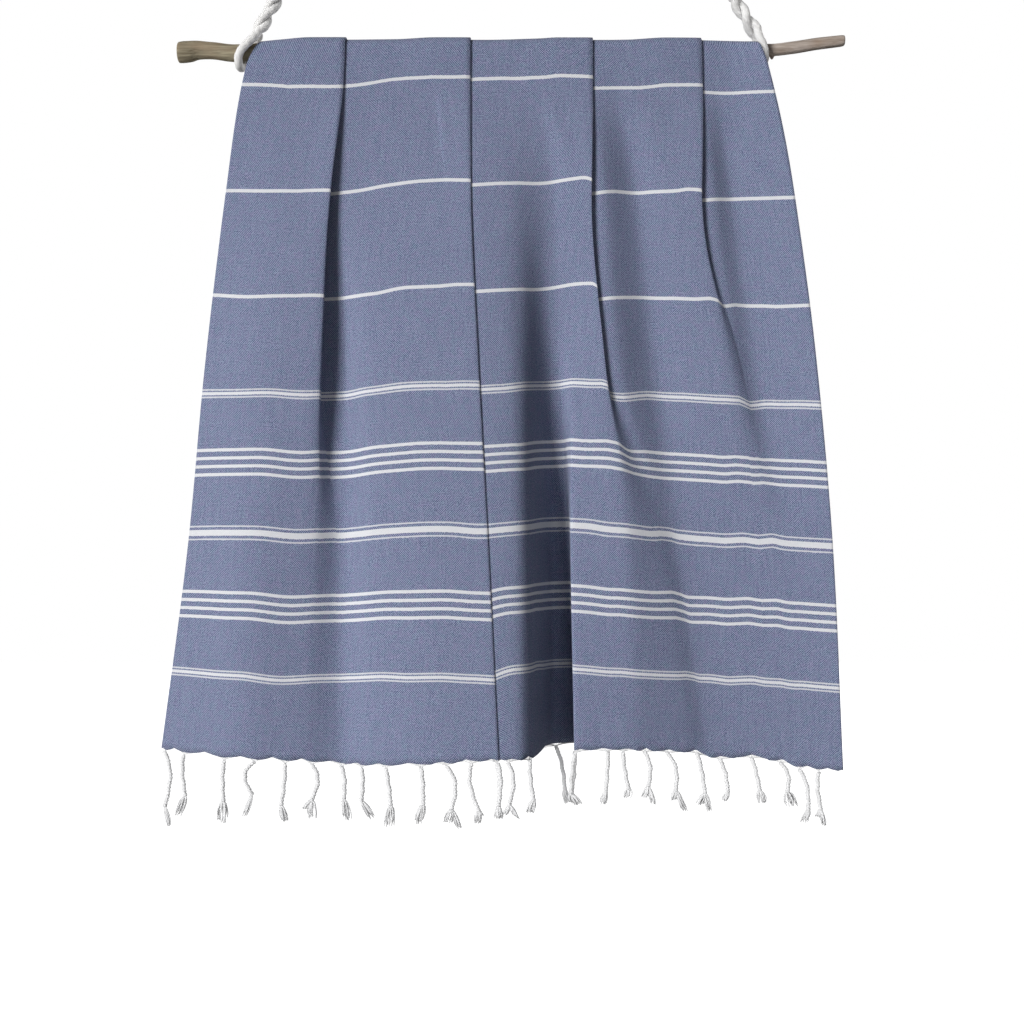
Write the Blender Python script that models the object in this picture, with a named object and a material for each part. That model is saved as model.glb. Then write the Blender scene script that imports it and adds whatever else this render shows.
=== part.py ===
"""A fringed hammam towel, folded over a driftwood stick that hangs from two twisted cotton cords.

Metres, +Z up. The front of the towel faces -Y. The origin lies halfway between the two eyes
that the cords hang from. Tables are in millimetres, as their names say.
"""

import math

import bmesh
import bpy
import numpy as np

MM = 0.001

# Towel: woven length without its fringe, and how the sheet stacks on the stick. Its width of
# a metre lies in the fold tables, as the length of each row along its folds.
CLOTH_LENGTH = 1.670
SHEET = 0.0010
LAYER_PITCH = 0.0015
STICK_CLEARANCE = 0.0007
STICK_LOBES = 0.03

# Fringe: warp ends twisted in bundles, knotted, with a brush below the knot
BACK_TASSELS = 28
BACK_TASSEL_LENGTH = 0.070
TASSEL_CORD = 0.0045
TASSEL_SIDES = 5
TASSEL_SHAPE = (
    # share of the length, width compared with the cord
    (0.0, 0.5), (0.08, 1.0), (0.60, 1.0), (0.72, 1.8), (0.93, 2.0), (1.0, 1.4),
)
SPINE_DEPTH = 0.0030
SPINE_THICKNESS = 0.0010
TASSEL_START = 0.0012
PIECE_GAP = 0.0003
HEM_GAP = 0.0006

# Cord: two legs of one cotton cord, twisted together above the stick
CORD_STRAND = 0.0106
CORD_TWISTED = 0.0190
CORD_POINT_STEP = 0.0045
WRAP_RADIUS = 0.0140
WRAP_HEIGHT = 0.0340
WRAP_PROFILE = (
    # share of the radius, share of the height
    (0.0, 0.0), (0.70, 0.0), (0.93, 0.10), (1.0, 0.25), (1.0, 0.75), (0.93, 0.90), (0.70, 1.0),
    (0.0, 1.0),
)
WRAP_SIDES = 16
EYE_SEGMENTS = 24
EYE_SIDES = 10
EYE_RADIUS = 0.0170
EYES_APART = 0.5140

# Stick: x along it, height of its heart, radius
STICK_MM = (
    # x, z, radius
    (-405.0, -122.0, 12.2),
    (-399.0, -121.6, 12.7),
    (-389.0, -120.8, 12.4),
    (-379.0, -119.3, 11.0),
    (-363.0, -119.9, 10.2),
    (-336.0, -122.9, 10.4),
    (-318.0, -122.0, 10.4),
    (-253.0, -118.8, 10.3),
    (-103.0, -118.3, 9.8),
    (72.0, -117.6, 9.0),
    (234.0, -117.0, 8.2),
    (325.0, -118.8, 7.4),
    (333.0, -118.9, 7.3),
    (362.0, -116.0, 7.5),
    (394.0, -110.9, 7.3),
    (422.0, -107.6, 7.0),
    (427.0, -107.0, 6.4),
)
TWIG_STUB_MM = (336.5, 4.0, 2.4)  # x, height of the stub below the stick, half width
TWIG_STUB_SPREAD = 0.45           # half its width round the stick, in radians
STICK_SIDES = 16
STICK_STATIONS = 15
LOBE_TWIST = 9.0                  # how the wood's two flats wind along the stick, radians a metre
LOBE_START = 0.5

# The front of the towel, left to right. Each row is one place across the cloth:
#   middle: how far in front of the stick's top the cloth's middle line lies there
#   x: at the top of the stick, just below it, and at the four levels of FRONT_LEVELS
#   y: depth at those four levels, minus towards the viewer
#   soft: half the stretch over which the cloth bends there, at the lowest level
FRONT_LEVELS = (0.20, 0.42, 0.64, 0.905)
NECK_LEVEL = 0.045
QUARTER_LEVEL = 0.022
CORNER_OVER_CORD = 12.5  # how far the right edge stands forward to pass over the cord, mm
FRONT_MM = (
    # name, kind, middle, x top, x neck, x at levels, y at levels, soft
    ("left_edge", "edge", 64, -299, -320, (-346, -374, -397, -435), (-12, -6, 5, 22), 20),
    ("panel_1", "flat", 67, -270, -276, (-284, -300, -310, -327), (-22, -32, -32, -24), 40),
    ("lip_1", "lip", 73, -195, -196, (-207, -217, -227, -238), (-31, -38, -29, -24), 18),
    ("crease_1", "crease", 73, -244, -242, (-240, -236, -206, -206), (-10, -12, -14, -17), 18),
    ("trough_2", "flat", 71, -215, -213, (-205, -195, -190, -190), (-17, -9, -17, -21), 16),
    ("ridge_2", "flat", 70, -187, -186, (-181, -169, -162, -160), (-19, -32, -44, -42), 18),
    ("panel_2", "flat", 67, -127, -127, (-126, -112, -99, -99), (-26, -44, -60, -66), 40),
    ("lip_2", "lip", 66, -40, -40, (-38, -28, -16, -3), (-36, -54, -68, -78), 5),
    ("crease_2", "crease", 60, -88, -85, (-73, -60, -43, -13), (-23, -42, -58, -70), 8),
    ("shoulder_3", "flat", 59, -16, -13, (8, 20, 26, 30), (-31, -48, -61, -70), 26),
    ("valley_3", "flat", 60, 12, 19, (46, 51, 59, 63), (-24, -8, 20, 32), 18),
    ("wall_3", "flat", 59, 28, 34, (61, 70, 84, 93), (-23, -8, 19, 30), 8),
    ("corner_3", "flat", 59, 44, 50, (80, 86, 84, 88), (-30, -20, -28, -32), 5),
    ("lip_3", "lip", 58, 112, 112, (113, 131, 156, 170), (-38, -37, -38, -34), 18),
    ("crease_3", "crease", 75, 64, 68, (83, 116, 196, 240), (-22, -24, -19, -15), 20),
    ("shoulder_4", "flat", 75, 114, 114, (124, 144, 208, 250), (-32, -29, -14, -11), 16),
    ("trough_4", "flat", 74, 132, 136, (164, 190, 220, 258), (-13, -7, -9, -9), 24),
    ("panel_4", "flat", 73, 160, 166, (194, 220, 254, 286), (-24, -20, -14, -13), 30),
    ("lip_4", "lip", 70, 247, 248, (250, 286, 314, 328), (-34, -33, -24, -22), 24),
    ("crease_4", "crease", 81, 200, 203, (221, 286, 332, 347), (-20, -25, -26, -24), 24),
    ("shoulder_5", "flat", 81, 249, 250, (258, 294, 340, 355), (-27, -25, -27, -25), 14),
    ("trough_5", "flat", 81, 262, 264, (282, 312, 350, 365), (-15, -18, -28, -27), 20),
    ("panel_5", "flat", 80, 276, 282, (310, 340, 372, 390), (-23, -27, -33, -31), 30),
    ("right_edge", "edge", 81, 310, 329, (359, 387, 406, 420), (-35, -43, -42, -38), 20),
)

ROWS_HANGING = (0.0, 0.018, 0.05, 0.085, 0.125, 0.17, 0.23, 0.30, 0.40, 0.52, 0.64, 0.76, 0.88, 1.0)

# The hidden back, in the same order: its pleats open into five plain waves
BACK_LEVELS = (0.18, 0.40, 0.765)
BACK_MM = (
    # name, x at the neck, x at levels, y at levels
    ("left_edge", -304, (-336, -362, -402), (14, 26, 44)),
    ("panel_1", -268, (-284, -298, -328), (22, 26, 24)),
    ("lip_1", -196, (-208, -222, -238), (36, 50, 64)),
    ("crease_1", -242, (-240, -240, -214), (12, 8, 6)),
    ("trough_2", -215, (-212, -208, -192), (17, 12, 14)),
    ("ridge_2", -187, (-184, -176, -160), (20, 26, 30)),
    ("panel_2", -127, (-126, -116, -100), (26, 18, -10)),
    ("lip_2", -40, (-38, -28, -20), (38, 38, 32)),
    ("crease_2", -85, (-74, -50, 2), (13, 14, 18)),
    ("shoulder_3", -13, (2, 8, 20), (20, 24, 30)),
    ("valley_3", 19, (40, 44, 50), (24, 36, 52)),
    ("wall_3", 34, (58, 64, 74), (26, 40, 60)),
    ("corner_3", 50, (76, 84, 98), (30, 36, 38)),
    ("lip_3", 112, (114, 128, 148), (38, 50, 62)),
    ("crease_3", 68, (82, 112, 172), (12, 10, 6)),
    ("shoulder_4", 114, (118, 134, 190), (34, 30, 12)),
    ("trough_4", 134, (150, 176, 206), (18, 18, 22)),
    ("panel_4", 164, (186, 210, 236), (24, 28, 36)),
    ("lip_4", 248, (250, 272, 298), (36, 50, 62)),
    ("crease_4", 203, (216, 258, 316), (12, 8, 12)),
    ("shoulder_5", 250, (254, 274, 326), (32, 30, 20)),
    ("trough_5", 264, (276, 298, 338), (16, 20, 28)),
    ("panel_5", 282, (302, 328, 358), (20, 28, 38)),
    ("right_edge", 311, (346, 366, 394), (14, 20, 26)),
)
MITRE_LIMIT = 2.4
STACK = {"edge": 0.0, "flat": 0.0, "lip": 2.0, "crease": 0.0}
LIFTED = {"panel_1": 0.8, "panel_2": 0.5, "valley_3": 0.4, "wall_3": 0.8, "corner_3": 1.1, "panel_4": 0.3}
TIGHT_TURN = 0.9   # mm, half the bend at a stacked fold
TIGHT_FLAT = 8.0   # mm, the same at a place that isn't folded
OPEN_LEVEL = 0.30  # m below the stick, where the folds have opened
RAMP_STEPS = (
    # before the crease in mm, share of the panel once open, how far up the layers
    (25.0, 0.50, 0.4),
    (3.0, 0.72, 1.0),
)
RAMP_LEAST = 0.3            # least share of a step's place on the panel
RAMP_BEND_MM = (2.0, 14.0)  # half the bend when stacked, and what opening adds
FOLD_FLANK = 1.3            # columns beside a fold, in half bends from it
FLANK_ROOM = 0.45           # at most this share of the run beside the fold
BEND_SAMPLES = 9
BEND_EDGE = 0.15            # weight of a bend's outermost sample
LEAST_FALL = 0.6            # least share of a row's length that hangs down
FALL_SOFTNESS = 0.030       # m across the cloth over which a row's fall evens out
TURN_ROWS = 5

# The front fringe: a tassel's place along the hem, how far its end swings right, its length
FRONT_TASSELS_MM = (
    # place, swing, length
    (4, 4, 96), (36, -8, 86), (97, -1, 80), (137, -11, 75), (176, 0, 76), (210, -3, 70),
    (247, 8, 67), (278, 11, 66), (314, 0, 74), (361, -4, 73), (393, 5, 74), (425, 8, 76),
    (457, 0, 72), (469, 0, 72), (483, -1, 68), (515, -1, 70), (618, 8, 75), (691, 4, 68),
    (703, 4, 69), (744, -4, 70), (763, 5, 62), (790, 3, 67), (820, 10, 72), (859, 5, 74),
    (891, 1, 58), (931, 12, 62), (967, 10, 58), (993, 5, 66), (1017, 8, 66),
)

# Where each cord's heart runs, from behind the stick, under and in front of it, and up
LEFT_CORD_MM = (
    # x, y, z, radius
    (-309.0, 9.0, -99.0, 5.0),
    (-314.0, 14.0, -107.5, 5.2),
    (-319.5, 16.1, -119.5, 5.3),
    (-324.5, 13.0, -133.0, 5.3),
    (-327.5, 3.0, -140.5, 5.3),
    (-328.2, -8.0, -139.0, 5.3),
    (-327.0, -15.2, -131.0, 5.3),
    (-322.5, -16.8, -123.0, 5.3),
    (-316.0, -17.0, -116.0, 5.3),
    (-309.5, -12.5, -107.5, 5.8),
    (-304.0, -7.0, -98.0, 7.2),
    (-298.5, -2.5, -85.0, 9.0),
    (-290.8, 0.0, -69.0, 9.5),
    (-283.3, 0.0, -56.0, 9.5),
    (-277.6, 0.0, -45.8, 9.5),
)
RIGHT_CORD_MM = (
    (318.5, 8.5, -101.0, 5.0),
    (321.8, 12.6, -109.0, 5.1),
    (324.5, 13.3, -117.0, 5.1),
    (326.5, 10.6, -127.6, 5.1),
    (327.0, 2.0, -132.8, 5.1),
    (326.5, -7.6, -130.6, 5.1),
    (325.2, -12.8, -124.0, 5.2),
    (322.8, -13.3, -115.8, 5.3),
    (319.3, -9.6, -105.8, 5.8),
    (315.5, -4.0, -95.2, 7.2),
    (306.7, -1.0, -81.3, 9.0),
    (298.0, 0.0, -68.8, 9.5),
    (291.2, 0.0, -56.3, 9.5),
    (285.3, 0.0, -45.9, 9.5),
)


def smooth_track(at, values, where):
    """Reads a smooth curve without overshoot through values, given at the places at."""
    at = np.asarray(at, float)
    values = np.asarray(values, float)
    step = np.diff(at)
    rise = np.diff(values) / step
    slope = np.concatenate([rise[:1], np.zeros(len(rise) - 1), rise[-1:]])
    before, after = rise[:-1], rise[1:]
    same_way = before * after > 0
    total = np.where(same_way, before + after, 1.0)
    slope[1:-1] = np.where(same_way, 2.0 * before * after / total, 0.0)
    where = np.clip(where, at[0], at[-1])
    span = np.clip(np.searchsorted(at, where, side="right") - 1, 0, len(step) - 1)
    u = (where - at[span]) / step[span]
    blend_end = u * u * (3.0 - 2.0 * u)
    tangents = slope[span] * u * (1.0 - u) ** 2 - slope[span + 1] * u * u * (1.0 - u)
    return values[span] * (1.0 - blend_end) + values[span + 1] * blend_end + step[span] * tangents


def ease(value, low, high):
    """0 below low, 1 above high, smooth between."""
    u = np.clip((value - low) / (high - low), 0.0, 1.0)
    return u * u * (3.0 - 2.0 * u)


def stick_heart(x):
    """Height of the stick's heart at x."""
    table = np.array(STICK_MM) * MM
    return smooth_track(table[:, 0], table[:, 1], x)


def stick_radius(x):
    """Mean radius of the stick at x."""
    table = np.array(STICK_MM) * MM
    return smooth_track(table[:, 0], table[:, 2], x)


def wrap_radius(x, stack):
    """Distance from the stick's heart to the middle of the sheet in a layer."""
    bare = stick_radius(x) * (1.0 + STICK_LOBES)
    return bare + STICK_CLEARANCE + SHEET / 2.0 + stack * LAYER_PITCH


def knots_at(side, level):
    """The section's corner points at one level below the stick's top, left to right.

    Each row holds x, y, layer, half the bend, and the middle line, in metres. A lip and a
    crease each give two corners, one layer apart.
    """
    opened = float(ease(level, NECK_LEVEL, OPEN_LEVEL))
    corners = []
    for index, row in enumerate(FRONT_MM):
        name, kind, middle, x_top, x_neck, x_front, y_front, soft = row
        x_low, y_low, levels = x_front, y_front, FRONT_LEVELS
        if side > 0:
            _, x_neck, x_low, y_low = BACK_MM[index]
            levels = BACK_LEVELS
        x = smooth_track((0.0, NECK_LEVEL) + levels, (x_top, x_neck) + x_low, level) * MM
        stack = LIFTED.get(name, STACK[kind])
        hang = wrap_radius(x, stack) * side / MM
        over = hang
        if side < 0 and index == len(FRONT_MM) - 1:
            over = hang - CORNER_OVER_CORD
        heights = (0.0, QUARTER_LEVEL, NECK_LEVEL) + levels
        y = smooth_track(heights, (hang, over, over) + y_low, level) * MM
        tight = TIGHT_TURN if kind in ("lip", "crease") else min(soft, TIGHT_FLAT)
        bend = (tight + (soft - tight) * opened) * MM
        corner = (float(x), float(y), stack, bend, middle * MM)
        inner = (float(x), float(y) - side * LAYER_PITCH, 1.0, bend, middle * MM)
        outer = (float(x), float(y) + side * LAYER_PITCH, 1.0, bend, middle * MM)
        if kind == "lip":
            corners += ramp(corners[-1], corner, index, side, level, opened)
            corners += [corner, inner]
        elif kind == "crease":
            corners += [outer, corner]
        else:
            corners.append(corner)
    return np.array(corners)


def ramp(before, lip, index, side, level, opened):
    """Two points where a panel climbs over the fold below it, before it reaches its lip."""
    _, _, _, x_top, x_neck, _, _, _ = FRONT_MM[index + 1]
    crease_x = smooth_track((0.0, NECK_LEVEL), (x_top, x_neck), min(level, NECK_LEVEL)) * MM
    points = []
    for shift, share, rise in RAMP_STEPS:
        layer = before[2] + (STACK["lip"] - before[2]) * rise
        x_least = before[0] + (lip[0] - before[0]) * RAMP_LEAST * share
        x_stacked = max(crease_x - shift * MM, x_least)
        y_stacked = side * max(wrap_radius(x_stacked, layer), abs(before[1]))
        x_open = before[0] + (lip[0] - before[0]) * share
        y_open = before[1] + (lip[1] - before[1]) * share
        bend = (RAMP_BEND_MM[0] + RAMP_BEND_MM[1] * opened) * MM
        middle = before[4] + (lip[4] - before[4]) * share
        x = float(x_stacked + (x_open - x_stacked) * opened)
        y = float(y_stacked + (y_open - y_stacked) * opened)
        points.append((x, y, layer, bend, middle))
    return points


def column_places():
    """Places of the mesh's columns along the section, as corner number and offset in bends."""
    places = []
    number = 0
    for row in FRONT_MM:
        kind = row[1]
        if kind == "lip":
            places += [(number, 0.0), (number + 1, 0.0)]
            number += 2
        if kind in ("lip", "crease"):
            places += [(number, -FOLD_FLANK), (number + 0.5, 0.0), (number + 1, FOLD_FLANK)]
            number += 2
        elif row[0] == "corner_3":
            places += [(number, -FOLD_FLANK), (number, 0.0), (number, FOLD_FLANK)]
            number += 1
        else:
            places.append((number, 0.0))
            number += 1
    return places


def section(side, level, places):
    """The sheet's middle line at one level, rounded at its corners and read at the columns.

    The corner points are joined by straight runs, and each place along them becomes the
    mean of its surroundings, over the length that bends there.
    """
    corners = knots_at(side, level)
    runs = np.hypot(np.diff(corners[:, 0]), np.diff(corners[:, 1]))
    along = np.concatenate([[0.0], np.cumsum(runs)])
    numbers = np.arange(len(along))
    at = []
    for number, bends in places:
        base = np.interp(number, numbers, along)
        bend = np.interp(number, numbers, corners[:, 3])
        room = runs[min(int(number), len(runs) - 1)] if bends > 0 else runs[max(int(number) - 1, 0)]
        at.append(base + np.sign(bends) * min(abs(bends) * bend, FLANK_ROOM * room))
    at = np.array(at)
    width = np.interp(at, along, corners[:, 3])
    offsets = np.linspace(-1.0, 1.0, BEND_SAMPLES)
    weights = 1.0 - np.abs(offsets) * (1.0 - BEND_EDGE)
    weights /= weights.sum()
    around = np.clip(at[:, None] + width[:, None] * offsets, 0.0, along[-1])
    x, y, layer, middle = (
        (np.interp(around, along, corners[:, k]) * weights).sum(axis=1) for k in (0, 1, 2, 4)
    )
    return x, y, layer, middle


def softened(values, x, y):
    """Values along a row of points, each replaced by a weighted mean around it."""
    along = np.concatenate([[0.0], np.cumsum(np.hypot(np.diff(x), np.diff(y)))])
    weights = np.exp(-(((along[:, None] - along) / FALL_SOFTNESS) ** 2)) * np.gradient(along)
    return weights @ values / weights.sum(axis=1)


def sheet_rows():
    """The middle surface as rows of points from the front hem, over the stick, to the back hem."""
    places = column_places()
    turns = np.radians(np.linspace(0.0, 90.0, TURN_ROWS))
    hang = np.array(ROWS_HANGING)
    halves = []
    for side in (-1.0, 1.0):
        rows = []
        for turn in turns:
            level = QUARTER_LEVEL * turn / turns[-1]
            x, y, layer, _ = section(side, level, places)
            radius = wrap_radius(x, layer)
            z = stick_heart(x) + radius * np.cos(turn)
            rows.append(np.stack([x, y * np.sin(turn), z], axis=1))
        quarter = wrap_radius(x, layer) * math.pi / 2.0
        deepest = FRONT_LEVELS[-1] if side < 0 else BACK_LEVELS[-1]
        x, y, _, middle = section(side, deepest, places)
        drop = CLOTH_LENGTH / 2.0 - side * softened(middle, x, y)
        # Each point hangs below the one above it, at the length of cloth between them
        last = rows[-1]
        for share, before in zip(hang[1:], hang[:-1]):
            level = float(QUARTER_LEVEL + (deepest - QUARTER_LEVEL) * share)
            x, y, _, _ = section(side, level, places)
            length = (drop - quarter) * (share - before)
            flat = np.hypot(x - last[:, 0], y - last[:, 1])
            fall = np.sqrt(np.maximum(length**2 - flat**2, (LEAST_FALL * length) ** 2))
            fall = softened(fall, x, y)
            last = np.stack([x, y, last[:, 2] - fall], axis=1)
            rows.append(last)
        halves.append(rows)
    front, back = halves
    return np.array(front[::-1] + back[1:])


def grid_normals(points):
    """Normals of a grid of points, facing out of the front and the back.

    Where the sheet turns a corner they are longer than one, as a mitre is, so that an even
    sheet stays even there.
    """
    across = np.diff(points, axis=1)
    across /= np.linalg.norm(across, axis=2, keepdims=True)
    before = np.concatenate([across[:, :1], across], axis=1)
    after = np.concatenate([across, across[:, -1:]], axis=1)
    down = np.gradient(points, axis=0)
    sides = []
    for run in (before, after):
        normal = np.cross(run, down)
        sides.append(normal / np.linalg.norm(normal, axis=2, keepdims=True))
    total = sides[0] + sides[1]
    length = np.linalg.norm(total, axis=2, keepdims=True)
    return total / length / np.maximum(length / 2.0, 1.0 / MITRE_LIMIT)


def thick_grid(name, points, thickness):
    """A closed sheet of even thickness around a grid of points."""
    rows, columns, _ = points.shape
    normals = grid_normals(points)
    outer = (points - normals * thickness / 2.0).reshape(-1, 3)
    inner = (points + normals * thickness / 2.0).reshape(-1, 3)
    count = rows * columns
    index = np.arange(count).reshape(rows, columns)
    faces = []
    # Layers that lie on each other are split along the same diagonal, so they stay apart
    for r in range(rows - 1):
        for c in range(columns - 1):
            a, b, d, e = index[r, c], index[r, c + 1], index[r + 1, c + 1], index[r + 1, c]
            rightwards = points[r, c + 1, 0] > points[r, c, 0]
            upwards = points[r + 1, c, 2] > points[r, c, 2]
            split = ((a, b, d), (a, d, e)) if rightwards == upwards else ((a, b, e), (b, d, e))
            for i, j, k in split:
                faces.append((i, j, k))
                faces.append((k + count, j + count, i + count))
    rim = list(index[0, :]) + list(index[1:, -1]) + list(index[-1, -2::-1]) + list(index[-2:0:-1, 0])
    for a, b in zip(rim, rim[1:] + rim[:1]):
        faces.append((b, a, a + count, b + count))
    mesh = bpy.data.meshes.new(name)
    mesh.from_pydata(np.concatenate([outer, inner]).tolist(), [], [tuple(map(int, f)) for f in faces])
    facing_out(mesh)
    return place(name, mesh)


def facing_out(mesh):
    """Turns every face of a closed mesh to point outwards."""
    edit = bmesh.new()
    edit.from_mesh(mesh)
    bmesh.ops.recalc_face_normals(edit, faces=edit.faces)
    if edit.calc_volume(signed=True) < 0:
        bmesh.ops.reverse_faces(edit, faces=edit.faces)
    edit.to_mesh(mesh)
    edit.free()


def place(name, data):
    """An object of this data in the scene."""
    obj = bpy.data.objects.new(name, data)
    bpy.context.scene.collection.objects.link(obj)
    return obj


def finish(obj, colour, roughness):
    """Gives an object its own plain material."""
    material = bpy.data.materials.new(obj.name)
    material.use_nodes = True
    shader = material.node_tree.nodes["Principled BSDF"]
    shader.inputs["Base Color"].default_value = (*colour, 1.0)
    shader.inputs["Roughness"].default_value = roughness
    shader.inputs["Metallic"].default_value = 0.0
    obj.data.materials.clear()
    obj.data.materials.append(material)


def tubes(name, paths, radii, sides):
    """A mesh of closed round tubes, one along each path of points."""
    vertices, faces = [], []
    for path, radius in zip(paths, radii):
        base = len(vertices)
        for (x, y, z), r in zip(path, radius):
            for k in range(sides):
                angle = 2.0 * math.pi * k / sides
                vertices.append((x + r * math.cos(angle), y + r * math.sin(angle), z))
        for ring in range(len(path) - 1):
            for k in range(sides):
                a = base + ring * sides + k
                b = base + ring * sides + (k + 1) % sides
                faces.append((a, b, b + sides, a + sides))
        faces.append(tuple(base + k for k in reversed(range(sides))))
        faces.append(tuple(base + (len(path) - 1) * sides + k for k in range(sides)))
    mesh = bpy.data.meshes.new(name)
    mesh.from_pydata(vertices, [], faces)
    facing_out(mesh)
    return place(name, mesh)


def comb(name, hem, normals, tassels):
    """A fringe: tassels on a spine that follows the hem.

    Each tassel is its place along the hem, its lean to the right and its length, in metres.
    """
    hem = hem - np.array([0.0, 0.0, SHEET / 2.0]) * np.abs(normals[:, 2:])
    spine = np.stack([hem - [0, 0, HEM_GAP], hem - [0, 0, HEM_GAP + SPINE_DEPTH]])
    band = thick_grid(name, spine, SPINE_THICKNESS)
    along = np.concatenate([[0.0], np.cumsum(np.linalg.norm(np.diff(hem, axis=0), axis=1))])
    paths, radii = [], []
    for at, lean, length in tassels:
        top = np.array([np.interp(at, along, hem[:, axis]) for axis in range(3)])
        path = []
        for share, _ in TASSEL_SHAPE:
            down = HEM_GAP + TASSEL_START + (length - TASSEL_START) * share
            path.append(top + np.array([lean * share, 0.0, -down]))
        paths.append(path)
        radii.append([TASSEL_CORD / 2.0 * width for _, width in TASSEL_SHAPE])
    teeth = tubes(name + "_teeth", paths, radii, TASSEL_SIDES)
    teeth.hide_render = True
    teeth.display_type = "WIRE"
    joined = band.modifiers.new("tassels", "BOOLEAN")
    joined.operation = "UNION"
    joined.solver = "EXACT"
    joined.object = teeth
    return band


def back_tassels(hem):
    """Even tassels for the hidden back hem, with small differences in lean and length."""
    width = np.linalg.norm(np.diff(hem, axis=0), axis=1).sum()
    numbers = np.arange(BACK_TASSELS)
    lean = 0.005 * np.sin(2.4 * numbers)
    length = BACK_TASSEL_LENGTH * (1.0 + 0.05 * np.sin(3.7 * numbers))
    return np.stack([width * (numbers + 0.4) / BACK_TASSELS, lean, length], axis=1)


def driftwood():
    """The stick: a lofted branch of uneven roundness with sawn ends and one twig stub."""
    sides = STICK_SIDES
    table = np.array(STICK_MM) * MM
    stations = np.unique(np.concatenate([
        table[:, 0],
        np.linspace(table[0, 0], table[-1, 0], STICK_STATIONS),
        (TWIG_STUB_MM[0] + TWIG_STUB_MM[2] * np.array([-1.0, 0.0, 1.0])) * MM,
    ]))
    angles = 2.0 * math.pi * np.arange(sides) / sides
    vertices = []
    for x in stations:
        lobes = 1.0 + STICK_LOBES * np.cos(2.0 * angles + LOBE_TWIST * x + LOBE_START)
        radius = stick_radius(x) * lobes
        near = math.exp(-(((x / MM - TWIG_STUB_MM[0]) / TWIG_STUB_MM[2]) ** 2))
        below = np.exp(-(((angles - 1.5 * math.pi) / TWIG_STUB_SPREAD) ** 2))
        radius = radius + TWIG_STUB_MM[1] * MM * near * below
        for angle, r in zip(angles, radius):
            vertices.append((x, r * math.cos(angle), stick_heart(x) + r * math.sin(angle)))
    faces = []
    for ring in range(len(stations) - 1):
        for k in range(sides):
            a = ring * sides + k
            b = ring * sides + (k + 1) % sides
            faces.append((a, b, b + sides, a + sides))
    faces.append(tuple(reversed(range(sides))))
    faces.append(tuple((len(stations) - 1) * sides + k for k in range(sides)))
    mesh = bpy.data.meshes.new("stick")
    mesh.from_pydata([tuple(map(float, v)) for v in vertices], [], faces)
    facing_out(mesh)
    obj = place("stick", mesh)
    mesh.shade_smooth()
    mesh.set_sharp_from_angle(angle=math.radians(50))
    return obj


def smooth_route(table):
    """Points a few millimetres apart on a smooth curve through a cord's own points."""
    route = np.array(table) * MM
    ends = np.concatenate([[2 * route[0] - route[1]], route, [2 * route[-1] - route[-2]]])
    dense = []
    for k in range(1, len(ends) - 2):
        before, start, end, after = ends[k - 1 : k + 3]
        for u in np.linspace(0.0, 1.0, 24, endpoint=False):
            dense.append(0.5 * (
                2.0 * start
                + (end - before) * u
                + (2.0 * before - 5.0 * start + 4.0 * end - after) * u**2
                + (3.0 * start - before - 3.0 * end + after) * u**3
            ))
    dense = np.array(dense + [route[-1]])
    along = np.concatenate([[0.0], np.cumsum(np.linalg.norm(np.diff(dense[:, :3], axis=0), axis=1))])
    count = int(round(along[-1] / CORD_POINT_STEP)) + 1
    read = np.linspace(0.0, along[-1], count)
    return np.stack([np.interp(read, along, dense[:, k]) for k in range(4)], axis=1), along[-1]


def cord(name, table):
    """One cord as a tube: thin where it goes round the stick, full where its legs twist."""
    points, length = smooth_route(table)
    curve = bpy.data.curves.new(name, "CURVE")
    curve.dimensions = "3D"
    curve.bevel_depth = CORD_TWISTED / 2.0
    curve.bevel_resolution = 3
    curve.use_fill_caps = True
    spline = curve.splines.new("POLY")
    spline.points.add(len(points) - 1)
    for point, (x, y, z, radius) in zip(spline.points, points):
        point.co = (x, y, z, 1.0)
        point.radius = radius / (CORD_TWISTED / 2.0)
    print(name, "length", round(float(length), 4), "m in", len(points), "points")
    return place(name, curve)


def hanging_knot(name, table):
    """The whipping above a cord, with the eye that a hook goes through."""
    end = np.array(table[-1][:3]) * MM
    rise = end - np.array(table[-2][:3]) * MM
    rise /= np.linalg.norm(rise)
    lean = math.atan2(rise[0], rise[2])
    side = 1.0 if end[0] > 0 else -1.0
    eye = np.array([side * EYES_APART / 2.0, 0.0, 0.0])
    foot = end + rise * PIECE_GAP
    edit = bmesh.new()
    outline = []
    for width, share in WRAP_PROFILE:
        outline.append(edit.verts.new((WRAP_RADIUS * width, 0.0, WRAP_HEIGHT * share)))
    for a, b in zip(outline, outline[1:]):
        edit.edges.new((a, b))
    bmesh.ops.spin(
        edit, geom=edit.verts[:] + edit.edges[:], cent=(0, 0, 0), axis=(0, 0, 1),
        angle=2.0 * math.pi, steps=WRAP_SIDES,
    )
    bmesh.ops.remove_doubles(edit, verts=edit.verts, dist=1e-6)
    mesh = bpy.data.meshes.new(name)
    edit.to_mesh(mesh)
    edit.free()
    facing_out(mesh)
    wrap = place(name, mesh)
    wrap.location = foot
    wrap.rotation_euler = (0.0, lean, 0.0)
    bpy.ops.mesh.primitive_torus_add(
        location=eye, rotation=(math.pi / 2.0, 0.0, 0.0),
        major_radius=EYE_RADIUS, minor_radius=CORD_STRAND / 2.0,
        major_segments=EYE_SEGMENTS, minor_segments=EYE_SIDES,
    )
    ring = bpy.context.object
    ring.name = name + "_eye"
    ring.hide_render = True
    ring.display_type = "WIRE"
    joined = wrap.modifiers.new("eye", "BOOLEAN")
    joined.operation = "UNION"
    joined.solver = "EXACT"
    joined.object = ring
    return wrap


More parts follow.
